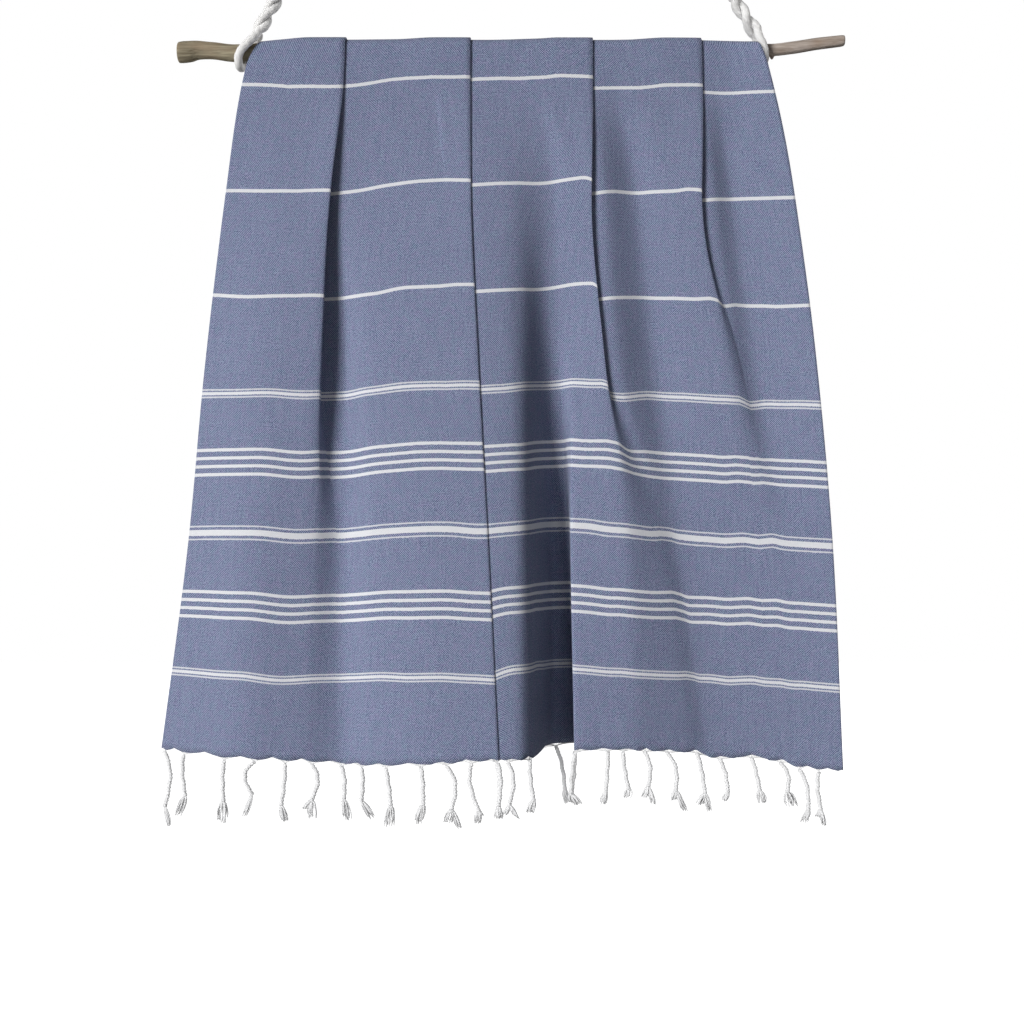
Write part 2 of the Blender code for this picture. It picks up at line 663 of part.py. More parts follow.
def build():
    for obj in list(bpy.data.objects):
        bpy.data.objects.remove(obj, do_unlink=True)
    rows = sheet_rows()
    for at, level in ((0, "front hem"), (-1, "back hem"), (len(rows) // 2, "top")):
        length = np.linalg.norm(np.diff(rows[at], axis=0), axis=1).sum()
        lowest = rows[at][:, 2].min()
        print(level, "along its folds", round(float(length), 3), "m, lowest", round(float(lowest), 3))
    cloth = thick_grid("towel_cloth", rows, SHEET)
    cloth.data.shade_smooth()
    cloth.data.set_sharp_from_angle(angle=math.radians(60))
    finish(cloth, (0.19, 0.22, 0.33), 0.9)
    normals = grid_normals(rows)
    front = comb("fringe_front", rows[0], normals[0], np.array(FRONT_TASSELS_MM) * MM)
    finish(front, (0.82, 0.82, 0.80), 0.9)
    back = comb("fringe_back", rows[-1], normals[-1], back_tassels(rows[-1]))
    finish(back, (0.82, 0.82, 0.80), 0.9)
    finish(driftwood(), (0.25, 0.21, 0.15), 0.8)
    for name, table in (("left", LEFT_CORD_MM), ("right", RIGHT_CORD_MM)):
        finish(cord("rope_" + name, table), (0.80, 0.79, 0.76), 0.9)
        finish(hanging_knot("knot_" + name, table), (0.80, 0.79, 0.76), 0.9)


build()
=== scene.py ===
# %% [markdown]
# # A hammam towel on a hanging driftwood stick
# A flat-woven cotton towel, a metre wide, hangs over a stick of driftwood in four pleats. The
# stick hangs from two cotton cords. Every piece here is a surface worked out with numpy around
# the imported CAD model, which stays in place as a frame. Lengths are in metres, or in
# millimetres where a name ends in MM.

# %% Load the frame
import math

import bpy
import numpy as np
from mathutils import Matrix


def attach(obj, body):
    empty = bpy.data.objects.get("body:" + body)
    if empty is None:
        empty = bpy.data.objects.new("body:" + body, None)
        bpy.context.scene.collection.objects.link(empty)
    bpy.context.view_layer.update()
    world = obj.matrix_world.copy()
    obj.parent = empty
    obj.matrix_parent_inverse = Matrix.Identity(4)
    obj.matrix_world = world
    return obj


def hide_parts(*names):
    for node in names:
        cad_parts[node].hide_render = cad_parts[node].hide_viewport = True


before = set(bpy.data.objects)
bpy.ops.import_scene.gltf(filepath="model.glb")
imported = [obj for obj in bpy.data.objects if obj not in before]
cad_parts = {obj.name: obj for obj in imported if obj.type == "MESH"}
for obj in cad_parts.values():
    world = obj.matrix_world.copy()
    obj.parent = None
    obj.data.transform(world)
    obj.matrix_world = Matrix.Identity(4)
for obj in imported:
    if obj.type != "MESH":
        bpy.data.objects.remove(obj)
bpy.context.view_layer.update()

MM = 0.001
print("CAD nodes:", ", ".join(sorted(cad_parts)))

# %% [markdown]
# The camera comes first, so that each piece can be looked at from the photograph's place as
# soon as it is made. It stands level, straight in front of the towel, 1.7 m away. At the stick
# one pixel of the square picture is 1.25 mm, which gives the focal length.

# %% Camera
VIEW_DISTANCE = 1.7
VIEW_CENTRE = (0.0117, -0.69625)  # x and z that the picture's middle looks at
PICTURE_WIDTH = 1.28              # metres across the picture at the stick
SENSOR_MM = 36.0


def set_up(name, data):
    """A new object in the scene that holds a mesh, a lamp or a lens."""
    thing = bpy.data.objects.new(name, data)
    bpy.context.scene.collection.objects.link(thing)
    return thing


lens = bpy.data.cameras.new("camera")
lens.sensor_width = SENSOR_MM
lens.lens = SENSOR_MM * VIEW_DISTANCE / PICTURE_WIDTH
lens.clip_end = 50.0
camera = set_up("camera", lens)
camera.location = (VIEW_CENTRE[0], -VIEW_DISTANCE, VIEW_CENTRE[1])
camera.rotation_euler = (math.pi / 2.0, 0.0, 0.0)
bpy.context.scene.camera = camera
print("focal length", round(lens.lens, 2), "mm")

# %% [markdown]
# Two small helpers read the short tables. One draws a smooth curve through a few values without
# overshooting them, which suits cloth and wood, where a bump that isn't there is seen at once.
# The other goes softly from 0 to 1. Two more measure directions and lengths.

# %% Smooth curves through short tables
def smooth_track(at, values, where):
    """A cubic through each pair of values, level at each peak: v0(1-b) + v1 b + slopes."""
    at, values = np.asarray(at, float), np.asarray(values, float)
    step = np.diff(at)
    rise = np.diff(values) / step
    before, after = rise[:-1], rise[1:]
    same_way = before * after > 0
    middle = np.where(same_way, 2.0 * before * after / np.where(same_way, before + after, 1.0), 0.0)
    slope = np.concatenate([rise[:1], middle, rise[-1:]])
    where = np.clip(where, at[0], at[-1])
    span = np.clip(np.searchsorted(at, where, side="right") - 1, 0, len(step) - 1)
    u = (where - at[span]) / step[span]
    blend = u * u * (3.0 - 2.0 * u)
    bend = slope[span] * u * (1.0 - u) ** 2 - slope[span + 1] * u * u * (1.0 - u)
    return values[span] * (1.0 - blend) + values[span + 1] * blend + step[span] * bend


def ease(value, low, high):
    """0 below low, 1 above high, and 3u^2 - 2u^3 between."""
    u = np.clip((np.asarray(value, float) - low) / (high - low), 0.0, 1.0)
    return u * u * (3.0 - 2.0 * u)


def unit(vectors):
    """Each vector divided by its length."""
    return vectors / np.linalg.norm(vectors, axis=-1, keepdims=True)


def path_length(points):
    """Distance along a path, from 0 at its first point."""
    steps = np.linalg.norm(np.diff(points, axis=-2), axis=-1)
    return np.concatenate([np.zeros(steps.shape[:-1] + (1,)), np.cumsum(steps, axis=-1)], axis=-1)

# %% [markdown]
# Most pieces are grids of points: rows along a path, columns round it or across it. These
# helpers turn whole grids into faces, carry a round profile along many paths at once, and put
# the result into a mesh with its own UV map in metres, so that a weave or a twist in the
# material follows the surface.

# %% From grids of points to meshes
def grid_faces(index):
    """The quads between neighbouring rows and columns of an array of point numbers."""
    corners = (index[..., :-1, :-1], index[..., :-1, 1:], index[..., 1:, 1:], index[..., 1:, :-1])
    return np.stack(corners, axis=-1).reshape(-1, 4)


def grid_corners(uv):
    """The same quads' UV corners, from a grid of UV points."""
    corners = (uv[..., :-1, :-1, :], uv[..., :-1, 1:, :], uv[..., 1:, 1:, :], uv[..., 1:, :-1, :])
    return np.stack(corners, axis=-2).reshape(-1, 2)


def make_piece(name, points, faces, corner_uv):
    """A mesh object from points, lists of faces and one UV point for each face corner."""
    mesh = bpy.data.meshes.new(name)
    polygons = [face for part in faces for face in part.tolist()]
    mesh.from_pydata(points.tolist(), [], polygons)
    layer = mesh.uv_layers.new(name="UVMap")
    layer.uv.foreach_set("vector", corner_uv.astype(np.float32).ravel())
    mesh.shade_smooth()
    mesh.update()
    piece = set_up(name, mesh)
    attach(piece, "root")
    print(name, "has", sum(len(face) - 2 for face in polygons), "triangles")
    return piece


def sweep(paths, radii, sides, across, lobes=0, groove=0.0, twist=0.0):
    """Round profiles carried along paths (path, ring, 3).

    Point = path + r (side cos a + up sin a), with side and up square to the path. A cord laid
    up from plies has r shortened by groove where two plies meet, and twist turns per metre.
    The radius r is one number, or one for each ring.
    """
    radii = radii * np.ones(paths.shape[:2])
    along = unit(np.gradient(paths, axis=1))
    side = unit(np.cross(along, np.asarray(across, float)))
    up = np.cross(along, side)
    run = path_length(paths)
    angle = 2.0 * math.pi * np.arange(sides + 1) / sides
    turned = angle - 2.0 * math.pi * twist * run[..., None]
    ply = 1.0 - groove * (1.0 - np.abs(np.cos(0.5 * lobes * turned))) if lobes else 1.0
    reach = (radii[..., None] * ply * np.ones_like(turned))[..., :-1, None]
    ring = side[:, :, None] * np.cos(angle[:-1, None]) + up[:, :, None] * np.sin(angle[:-1, None])
    points = paths[:, :, None] + ring * reach
    around = angle * radii[..., None]
    uv = np.stack([around, run[..., None] + 0.0 * around], axis=-1)
    return points, uv


def tube_faces(points, uv, start):
    """Quads round each tube and a cap at each end, with their UV corners."""
    tubes, rings, sides, _ = points.shape
    index = start + np.arange(tubes * rings * sides).reshape(tubes, rings, sides)
    index = np.concatenate([index, index[..., :1]], axis=-1)
    first = index[:, 0, -2::-1]
    last = index[:, -1, :-1]
    cap_uv = np.concatenate([uv[:, 0, -2::-1].reshape(-1, 2), uv[:, -1, :-1].reshape(-1, 2)])
    return [grid_faces(index), first, last], np.concatenate([grid_corners(uv), cap_uv])


def tube_piece(name, bundles):
    """One mesh of many tubes, from several (points, uv) results of sweep."""
    points, faces, corners, start = [], [], [], 0
    for ring_points, uv in bundles:
        part, part_uv = tube_faces(ring_points, uv, start)
        points.append(ring_points.reshape(-1, 3))
        faces += part
        corners.append(part_uv)
        start += points[-1].shape[0]
    return make_piece(name, np.concatenate(points), faces, np.concatenate(corners))

# %% [markdown]
# ## The two cords
# Each cord is one length of soft cotton cord, 10.6 mm thick. It goes under the stick, and its
# two legs are twisted about each other above it, like a two-strand rope. So one leg's path is
# a helix down, a loop round the stick, and a helix up again, half a turn behind the first.

# %% The route of a cord
CORD_DIAMETER = 0.0106
LAY_LENGTH = 0.052       # one full turn of the two legs about each other
LEG_OFFSET = 0.0046      # from the pair's heart to a leg's heart

# The CAD cords' own points: from behind the stick, under it, in front of it, and up
CORDS_MM = {
    # x, y, z
    "left": (
        (-309, 9, -99), (-314, 14, -107.5), (-319.5, 16.1, -119.5),
        (-324.5, 13, -133), (-327.5, 3, -140.5), (-328.2, -8, -139),
        (-327, -15.2, -131), (-322.5, -16.8, -123), (-316, -17, -116),
        (-309.5, -12.5, -107.5), (-304, -7, -98), (-298.5, -2.5, -85), (-290.8, 0, -69),
        (-283.3, 0, -56), (-277.6, 0, -45.8),
    ),
    "right": (
        (318.5, 8.5, -101), (321.8, 12.6, -109), (324.5, 13.3, -117), (326.5, 10.6, -127.6),
        (327, 2, -132.8), (326.5, -7.6, -130.6), (325.2, -12.8, -124), (322.8, -13.3, -115.8),
        (319.3, -9.6, -105.8), (315.5, -4, -95.2), (306.7, -1, -81.3), (298, 0, -68.8),
        (291.2, 0, -56.3), (285.3, 0, -45.9),
    ),
}
PAIR_ROWS = 4            # how many of the last points belong to the twisted pair
CLOSING = 0.016          # height over which the two legs close up above the stick
SPAN_STEPS = 24          # steps from one point to the next before a curve is read evenly
PAIR_STEPS = 72
LEG_STEPS = 300
LEG_STRIDE = 4           # one helix point in four shapes the leg's own curve
CORDS = {side: np.array(points) * MM for side, points in CORDS_MM.items()}


def curve_through(points, count):
    """A smooth curve through points (Catmull-Rom), read at count even places along it."""
    ends = np.concatenate([[2 * points[0] - points[1]], points, [2 * points[-1] - points[-2]]])
    u = np.linspace(0.0, 1.0, SPAN_STEPS, endpoint=False)[None, :, None]
    p, q, r, s = (ends[k:len(ends) - 3 + k, None] for k in range(4))
    cubic = 0.5 * (2 * q + (r - p) * u + (2 * p - 5 * q + 4 * r - s) * u**2
                   + (3 * q - p - 3 * r + s) * u**3)
    dense = np.concatenate([cubic.reshape(-1, 3), points[-1:]])
    run = path_length(dense)
    read = np.linspace(0.0, run[-1], count)
    return np.stack([np.interp(read, run, column) for column in dense.T], axis=1)


def leg_route(points):
    """One leg down, the loop under the stick, and the other leg up, as one path."""
    back_end, front_end = points[0], points[-PAIR_ROWS - 1]
    foot = (back_end + front_end) / 2
    heart = curve_through(np.concatenate([[foot], points[-PAIR_ROWS:]]), PAIR_STEPS)
    height = path_length(heart)
    turn = 2.0 * math.pi * height / LAY_LENGTH
    apart = np.linalg.norm(front_end - back_end) / 2
    offset = LEG_OFFSET + (apart - LEG_OFFSET) * (1.0 - ease(height, 0.0, CLOSING))
    away = offset[:, None] * np.stack([np.sin(turn), -np.cos(turn), 0.0 * turn], axis=1)
    front, back = heart + away, heart - away
    loop = points[1:-PAIR_ROWS - 1][::-1]
    rough = np.concatenate([front[::-LEG_STRIDE], loop, back[::LEG_STRIDE]])
    return curve_through(rough, LEG_STEPS)

# %% The cords themselves
SLACK_PLIES = 3
PLY_TURN = 0.030         # length of one turn of a cord's plies
CORD_GROOVE = 0.10       # depth between two plies, as a share of the radius
CORD_SIDES = 24

cords = {}
for side_name, points in CORDS.items():
    rings = sweep(leg_route(points)[None], CORD_DIAMETER / 2.0, CORD_SIDES, (1.0, 0.0, 0.0),
                  SLACK_PLIES, CORD_GROOVE, -1.0 / PLY_TURN)
    cord = tube_piece("cord_" + side_name, [rings])
    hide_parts("rope_" + side_name)
    cords[side_name] = cord

# %% [markdown]
# ## The whippings and eyes
# Above the part that is seen, each pair of legs is bound with thin cotton twine and ends in a
# small eye for a hook. The binding is a surface of revolution whose radius rises and falls as
# a helix climbs it, so every turn of the twine shows. The eye is a laid cord bent to a ring.

# %% Whipping and eye
WHIP_RADIUS = 0.0140
WHIP_HEIGHT = 0.0340
WHIP_GAP = 0.0003
WHIP_PROFILE = (
    # share of the height, share of the radius
    (0.0, 0.55), (0.03, 0.80), (0.12, 0.92), (0.3, 0.96),
    (0.7, 0.96), (0.88, 0.92), (0.97, 0.80), (1.0, 0.55),
)
WHIP_RINGS = 120
WHIP_SIDES = 48
TWINE = 0.0022
TWINE_DEPTH = 0.32       # of the twine's thickness, between two turns
TWINE_ROUNDNESS = 0.6
EYE_RADIUS = 0.0170
EYE_GROOVE = 0.14
EYE_TURNS = 4            # how often its plies turn on the way round
EYE_RINGS = 96
EYE_SIDES = 20
EYES_APART = 0.5140


def whipping(end):
    """Rings round the cord's last stretch: radius = profile(h) - depth (1 - |sin| of a helix)."""
    rise = unit(end[1] - end[0])
    height = np.linspace(0.0, WHIP_HEIGHT, WHIP_RINGS)[:, None]
    profile = smooth_track(*np.array(WHIP_PROFILE).T, height / WHIP_HEIGHT)
    path = end[1] + rise * WHIP_GAP + rise * height
    side = unit(np.cross(rise, (0.0, 1.0, 0.0)))
    up = np.cross(rise, side)
    turn = np.arange(WHIP_SIDES + 1) / WHIP_SIDES
    angle = 2.0 * math.pi * turn
    wound = np.abs(np.sin(math.pi * (height / TWINE - turn))) ** TWINE_ROUNDNESS
    reach = WHIP_RADIUS * profile - TWINE * TWINE_DEPTH * (1.0 - wound)
    ring = side * np.cos(angle[:-1, None]) + up * np.sin(angle[:-1, None])
    points = path[:, None] + ring * reach[:, :-1, None]
    uv = np.stack([angle * WHIP_RADIUS + 0.0 * height, height + 0.0 * angle], axis=-1)
    return points[None], uv[None]


def eye(centre):
    """A ring in the XZ plane: centre + R (cos t, 0, sin t), once round."""
    turn = np.linspace(-0.5 * math.pi, 1.5 * math.pi, EYE_RINGS + 1)
    flat = np.stack([np.cos(turn), 0.0 * turn, np.sin(turn)], axis=1)
    path = np.asarray(centre) + EYE_RADIUS * flat
    return sweep(path[None], CORD_DIAMETER / 2.0, EYE_SIDES, (0.0, 1.0, 0.0), SLACK_PLIES,
                 EYE_GROOVE, EYE_TURNS / (2 * math.pi * EYE_RADIUS))


knots = {}
for side_name, across in (("left", -EYES_APART / 2), ("right", EYES_APART / 2)):
    parts = [whipping(CORDS[side_name][-2:]), eye((across, 0.0, 0.0))]
    knot = tube_piece("knot_visual_" + side_name, parts)
    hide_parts("knot_" + side_name)
    knots[side_name] = knot

# %% [markdown]
# ## The driftwood stick
# Weathered wood is never quite round. The stick's radius and height come from a short table,
# and slow waves along and round it add the hollows between old growth ridges. Its left end is
# a little flared, both ends are sawn, and a stub of a twig is left under it on the right.

# %% The stick's surface
STICK_MM = (
    # x, height of its heart, radius
    (-405, -122, 12.2), (-399, -121.6, 12.7), (-389, -120.8, 12.4), (-379, -119.3, 11),
    (-363, -119.9, 10.2), (-336, -122.9, 10.4), (-318, -122, 10.4), (-253, -118.8, 10.3),
    (-103, -118.3, 9.8), (72, -117.6, 9), (234, -117, 8.2), (325, -118.8, 7.4),
    (333, -118.9, 7.3), (362, -116, 7.5), (394, -110.9, 7.3), (422, -107.6, 7),
    (427, -107, 6.4),
)
TWIG_STUB_MM = (336.5, 4.0, 2.4)  # x, height below the stick, half width
TWIG_STUB_ANGLE = 0.34            # half its width round the stick, in radians
STICK_LOBES = 0.03
RIDGES = (
    # height as a share of the radius, ridges round, lean per metre, wander, its waves, phase
    (0.011, 5, 6.0, 1.1, 9.0, 0.0),
    (0.009, 9, -11.0, 1.3, 14.0, 2.0),
    (0.006, 17, 21.0, 1.7, 23.0, 0.0),
)
LUMPS = 0.010
SAWN_BEVEL = 0.0012
BEVEL_DEPTH = 0.09
STICK_RINGS = 420
STICK_SIDES = 56
STICK_UV_RADIUS = 0.010
STICK = np.array(STICK_MM) * MM


def stick_heart(x):
    """Height of the stick's heart at x."""
    return smooth_track(STICK[:, 0], STICK[:, 1], x)


def stick_radius(x):
    """Mean radius of the stick at x."""
    return smooth_track(STICK[:, 0], STICK[:, 2], x)


def stick_rings():
    """Radius = mean * (1 + lobes + fine ridges that wander along the grain) + the twig stub."""
    low, high = STICK[0, 0], STICK[-1, 0]
    sawn = SAWN_BEVEL * np.array([0.0, 0.3, 1.0])
    between = np.linspace(low + 2 * SAWN_BEVEL, high - 2 * SAWN_BEVEL, STICK_RINGS)
    s = np.concatenate([low + sawn, between, high - sawn[::-1]])[:, None]
    a = 2.0 * math.pi * np.arange(STICK_SIDES + 1) / STICK_SIDES
    ridges = sum(height * np.sin(count * a + lean * s + wander * np.sin(waves * s + phase))
                 for height, count, lean, wander, waves, phase in RIDGES)
    ridges = ridges + LUMPS * np.sin(31.0 * s + 2.0 * np.cos(a)) * np.cos(a + 40.0 * s)
    lobes = STICK_LOBES * np.cos(2.0 * a + 9.0 * s + 0.5)
    edge = np.minimum((s - low) / SAWN_BEVEL, (high - s) / SAWN_BEVEL)
    bevel = 1.0 - BEVEL_DEPTH * (1.0 - np.sqrt(np.clip(edge, 0.0, 1.0)))
    radius = stick_radius(s) * (1.0 + lobes + ridges * ease(edge, 0.0, 4.0)) * bevel
    stub_x, stub_height, stub_width = TWIG_STUB_MM
    near = np.exp(-(((s / MM - stub_x) / stub_width) ** 4))
    below = np.exp(-(((a - 1.5 * math.pi) / TWIG_STUB_ANGLE) ** 4))
    radius = radius + stub_height * MM * near * below
    y = radius * np.cos(a)
    z = stick_heart(s) + radius * np.sin(a)
    points = np.stack([s + 0.0 * y, y, z], axis=-1)
    uv = np.stack([a * STICK_UV_RADIUS + 0.0 * s, s + 0.0 * a], axis=-1)
    return points[None, :, :-1], uv[None]


stick = tube_piece("driftwood_stick", [stick_rings()])
stick.data.set_sharp_from_angle(angle=math.radians(55))
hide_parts("stick")

# %% [markdown]
# ## The cloth
# The towel is one sheet. A horizontal cut through it, at any height, is a folded line: a few
# named places across the cloth, each with its x and its depth, joined and rounded. The tables
# give those places at the stick and at a few heights below it. A lip is the front edge of a
# pleat, and a crease is where the cloth turns back behind it. Under the stick the folds lie in
# tight layers, and lower down they open into soft waves.

# %% The cloth's folds, as short tables
CLOTH_LENGTH = 1.670
CLOTH_WIDTH = 1.000
SHEET = 0.0009           # how thick the cloth is
LAYER_PITCH = 0.0015     # from one stacked layer to the next
STICK_CLEARANCE = 0.00075
QUARTER_LEVEL = 0.022    # where the cloth leaves the stick, a quarter turn from its top
NECK_LEVEL = 0.045       # down to here the layers stay stacked
OPEN_LEVEL = 0.30        # below here the folds have opened
OVER_CORD_MM = 12.5      # how far the right edge stands forward to pass over the cord
TIGHT_TURN_MM = 0.9      # half the bend at a stacked fold
TIGHT_FLAT_MM = 8.0      # the most half bend elsewhere, while the folds are stacked

# In these tables, middle is how far the cloth's own middle hangs in front of the stick, and
# soft is half the bend at that place once the folds have opened.
FRONT_LEVELS = (0.20, 0.42, 0.64, 0.905)
FRONT_MM = (
    # name, kind, middle, x top, x neck, x at levels, y at levels, soft
    ("left_edge", "edge", 64, -299, -320, (-346, -374, -397, -435), (-12, -6, 5, 22), 20),
    ("panel_1", "flat", 67, -270, -276, (-284, -300, -310, -327), (-22, -32, -32, -24), 40),
    ("lip_1", "lip", 73, -195, -196, (-207, -217, -227, -238), (-31, -38, -29, -24), 18),
    ("crease_1", "crease", 73, -244, -242, (-240, -236, -206, -206), (-10, -12, -14, -17), 18),
    ("trough_2", "flat", 71, -215, -213, (-205, -195, -190, -190), (-17, -9, -17, -21), 16),
    ("ridge_2", "flat", 70, -187, -186, (-181, -169, -162, -160), (-19, -32, -44, -42), 18),
    ("panel_2", "flat", 67, -127, -127, (-126, -112, -99, -99), (-26, -44, -60, -66), 40),
    ("lip_2", "lip", 66, -40, -40, (-38, -28, -16, -3), (-36, -54, -68, -78), 5),
    ("crease_2", "crease", 60, -88, -85, (-73, -60, -43, -13), (-29, -47, -63, -75), 8),
    ("behind_2", "flat", 60, -46, -43, (-33, -23, -11, 3), (-33.5, -51.5, -66, -76), 10),
    ("shoulder_3", "flat", 59, -14, -11, (10, 22, 28, 32), (-33.5, -51.5, -65.5, -75.5), 26),
    ("valley_3", "flat", 60, 12, 19, (46, 51, 59, 63), (-25, -12, 20, 32), 18),
    ("wall_3", "flat", 59, 28, 34, (61, 70, 84, 93), (-24, -11, 19, 30), 8),
    ("corner_3", "flat", 59, 44, 50, (80, 86, 84, 88), (-30, -20, -28, -32), 5),
    ("lip_3", "lip", 58, 112, 112, (113, 131, 156, 170), (-38, -37, -38, -34), 18),
    ("crease_3", "crease", 75, 64, 68, (83, 116, 196, 240), (-22, -24, -22, -21), 20),
    ("shoulder_4", "flat", 75, 114, 114, (124, 144, 208, 250), (-32, -29, -18, -18), 16),
    ("trough_4", "flat", 74, 132, 136, (164, 190, 220, 260), (-13, -7, -14, -17), 24),
    ("panel_4", "flat", 73, 160, 166, (194, 220, 254, 286), (-24, -19, -18, -18), 30),
    ("lip_4", "lip", 70, 247, 248, (250, 286, 314, 328), (-34, -34, -27, -23), 24),
    ("crease_4", "crease", 81, 200, 203, (221, 286, 332, 347), (-20, -25, -30, -25), 24),
    ("shoulder_5", "flat", 81, 249, 250, (258, 294, 340, 355), (-27, -25, -31, -26), 14),
    ("trough_5", "flat", 81, 262, 264, (282, 312, 350, 365), (-15, -18, -33, -28), 20),
    ("panel_5", "flat", 80, 276, 282, (310, 340, 372, 390), (-23, -28, -38, -33), 30),
    ("right_edge", "edge", 81, 310, 329, (359, 387, 406, 420), (-36, -45, -47, -40), 20),
)
BACK_LEVELS = (0.18, 0.40, 0.765)
BACK_MM = (
    # name, x at the neck, x at levels, y at levels
    ("left_edge", -304, (-336, -362, -402), (14, 26, 44)),
    ("panel_1", -268, (-284, -298, -328), (22, 26, 24)),
    ("lip_1", -196, (-208, -222, -238), (36, 50, 64)),
    ("crease_1", -242, (-240, -240, -214), (12, 8, 6)),
    ("trough_2", -215, (-212, -208, -192), (17, 12, 14)),
    ("ridge_2", -187, (-184, -176, -160), (20, 26, 30)),
    ("panel_2", -127, (-126, -116, -100), (26, 18, -10)),
    ("lip_2", -40, (-38, -28, -20), (38, 38, 32)),
    ("crease_2", -85, (-74, -50, 2), (13, 14, 18)),
    ("behind_2", -43, (-34, -20, 10), (15, 17, 22)),
    ("shoulder_3", -13, (2, 8, 20), (20, 24, 30)),
    ("valley_3", 19, (40, 44, 50), (24, 36, 52)),
    ("wall_3", 34, (58, 64, 74), (26, 40, 60)),
    ("corner_3", 50, (76, 84, 98), (30, 36, 38)),
    ("lip_3", 112, (114, 128, 148), (38, 50, 62)),
    ("crease_3", 68, (82, 112, 172), (12, 10, 6)),
    ("shoulder_4", 114, (118, 134, 190), (34, 30, 12)),
    ("trough_4", 134, (150, 176, 206), (18, 18, 22)),
    ("panel_4", 164, (186, 210, 236), (24, 28, 36)),
    ("lip_4", 248, (250, 272, 298), (36, 50, 62)),
    ("crease_4", 203, (216, 258, 316), (12, 8, 12)),
    ("shoulder_5", 250, (254, 274, 326), (32, 30, 20)),
    ("trough_5", 264, (276, 298, 338), (16, 20, 28)),
    ("panel_5", 282, (302, 328, 358), (20, 28, 38)),
    ("right_edge", 311, (346, 366, 394), (14, 20, 26)),
)
STACK = {"edge": 0.0, "flat": 0.0, "lip": 2.0, "crease": 0.0}  # layers above the wood
LIFTED = {  # layers that a place between two folds lies above the wood
    "panel_1": 0.8, "panel_2": 0.5, "valley_3": 0.4, "wall_3": 0.8, "corner_3": 1.1, "panel_4": 0.3,
}


def wrap_radius(x, stack):
    """From the stick's heart to the middle of the sheet, in a layer counted from the wood."""
    return stick_radius(x) * (1 + STICK_LOBES) + STICK_CLEARANCE + SHEET / 2 + stack * LAYER_PITCH

# %% [markdown]
# The cut's corner points come from the tables, with two points each for a lip and a crease,
# because cloth that turns back lies one layer lower. Rounding is an average: each place on the
# line becomes the mean of its surroundings, over the length that bends there.

# %% A cut through the cloth at one height
RAMP_STEPS = (
    # mm before the crease, share of the way to the lip when open, share of the climb
    (25.0, 0.50, 0.4),
    (3.0, 0.72, 1.0),
)
RAMP_LEAST = 0.3            # of its share of the way, which a stacked point always keeps
RAMP_BEND_MM = (9.0, 15.0)  # half the bend on a ramp while stacked, and what opening adds
BEND_SAMPLES = 17
BEND_EDGE = 0.15            # weight of the outermost sample in a bend
COLUMN_CROWDING = 0.6       # 0 spreads the columns evenly, 1 crowds them at the corners


def fold_corners(side, level):
    """Rows of x, y, layer, half the bend, and the middle line's offset, left to right."""
    opened = float(ease(level, NECK_LEVEL, OPEN_LEVEL))
    corners = []
    for index, (name, kind, middle, x_top, x_neck, x_low, y_low, soft) in enumerate(FRONT_MM):
        levels = FRONT_LEVELS
        if side > 0:
            _, x_neck, x_low, y_low = BACK_MM[index]
            levels = BACK_LEVELS
        x = float(smooth_track((0.0, NECK_LEVEL) + levels, (x_top, x_neck) + x_low, level)) * MM
        stack = LIFTED.get(name, STACK[kind])
        hang = wrap_radius(x, stack) * side / MM
        over = hang - OVER_CORD_MM if side < 0 and name == "right_edge" else hang
        heights = (0.0, QUARTER_LEVEL, NECK_LEVEL) + levels
        y = float(smooth_track(heights, (hang, over, over) + y_low, level)) * MM
        tight = TIGHT_TURN_MM if kind in ("lip", "crease") else min(soft, TIGHT_FLAT_MM)
        bend = (tight + (soft - tight) * opened) * MM
        corner = (x, y, stack, bend, middle * MM)
        if kind == "lip":
            corners += climb(corners[-1], corner, index, side, level, opened)
            corners += [corner, (x, y - side * LAYER_PITCH, 1.0, bend, middle * MM)]
        elif kind == "crease":
            corners += [(x, y + side * LAYER_PITCH, 1.0, bend, middle * MM), corner]
        else:
            corners.append(corner)
    return np.array(corners)


def climb(before, lip, index, side, level, opened):
    """Two points where a panel climbs over the fold below it, before it reaches its lip."""
    x_top, x_neck = FRONT_MM[index + 1][3:5]
    crease_x = smooth_track((0.0, NECK_LEVEL), (x_top, x_neck), min(level, NECK_LEVEL)) * MM
    bend = (RAMP_BEND_MM[0] + RAMP_BEND_MM[1] * opened) * MM
    points = []
    for shift, share, rise in RAMP_STEPS:
        layer = before[2] + (STACK["lip"] - before[2]) * rise
        x_least = before[0] + (lip[0] - before[0]) * RAMP_LEAST * share
        x_stacked = max(crease_x - shift * MM, x_least)
        y_stacked = side * max(wrap_radius(x_stacked, layer), abs(before[1]))
        x_open, y_open = (before[k] + (lip[k] - before[k]) * share for k in (0, 1))
        x = float(x_stacked + (x_open - x_stacked) * opened)
        y = float(y_stacked + (y_open - y_stacked) * opened)
        middle = before[4] + (lip[4] - before[4]) * share
        points.append((x, y, layer, bend, middle))
    return points


def fold_columns(spacing):
    """Column places along a cut, as corner numbers, a little closer together at each corner."""
    lengths = np.diff(path_length(fold_corners(-1.0, FRONT_LEVELS[-1])[:, :2]))
    places = [np.zeros(1)]
    for number, length in enumerate(lengths):
        count = 2 if length < 2.0 * LAYER_PITCH else max(5, round(length / spacing))
        u = np.arange(1, count + 1) / count
        crowded = 0.5 - 0.5 * np.cos(math.pi * u)
        places.append(number + (1.0 - COLUMN_CROWDING) * u + COLUMN_CROWDING * crowded)
    return np.concatenate(places)


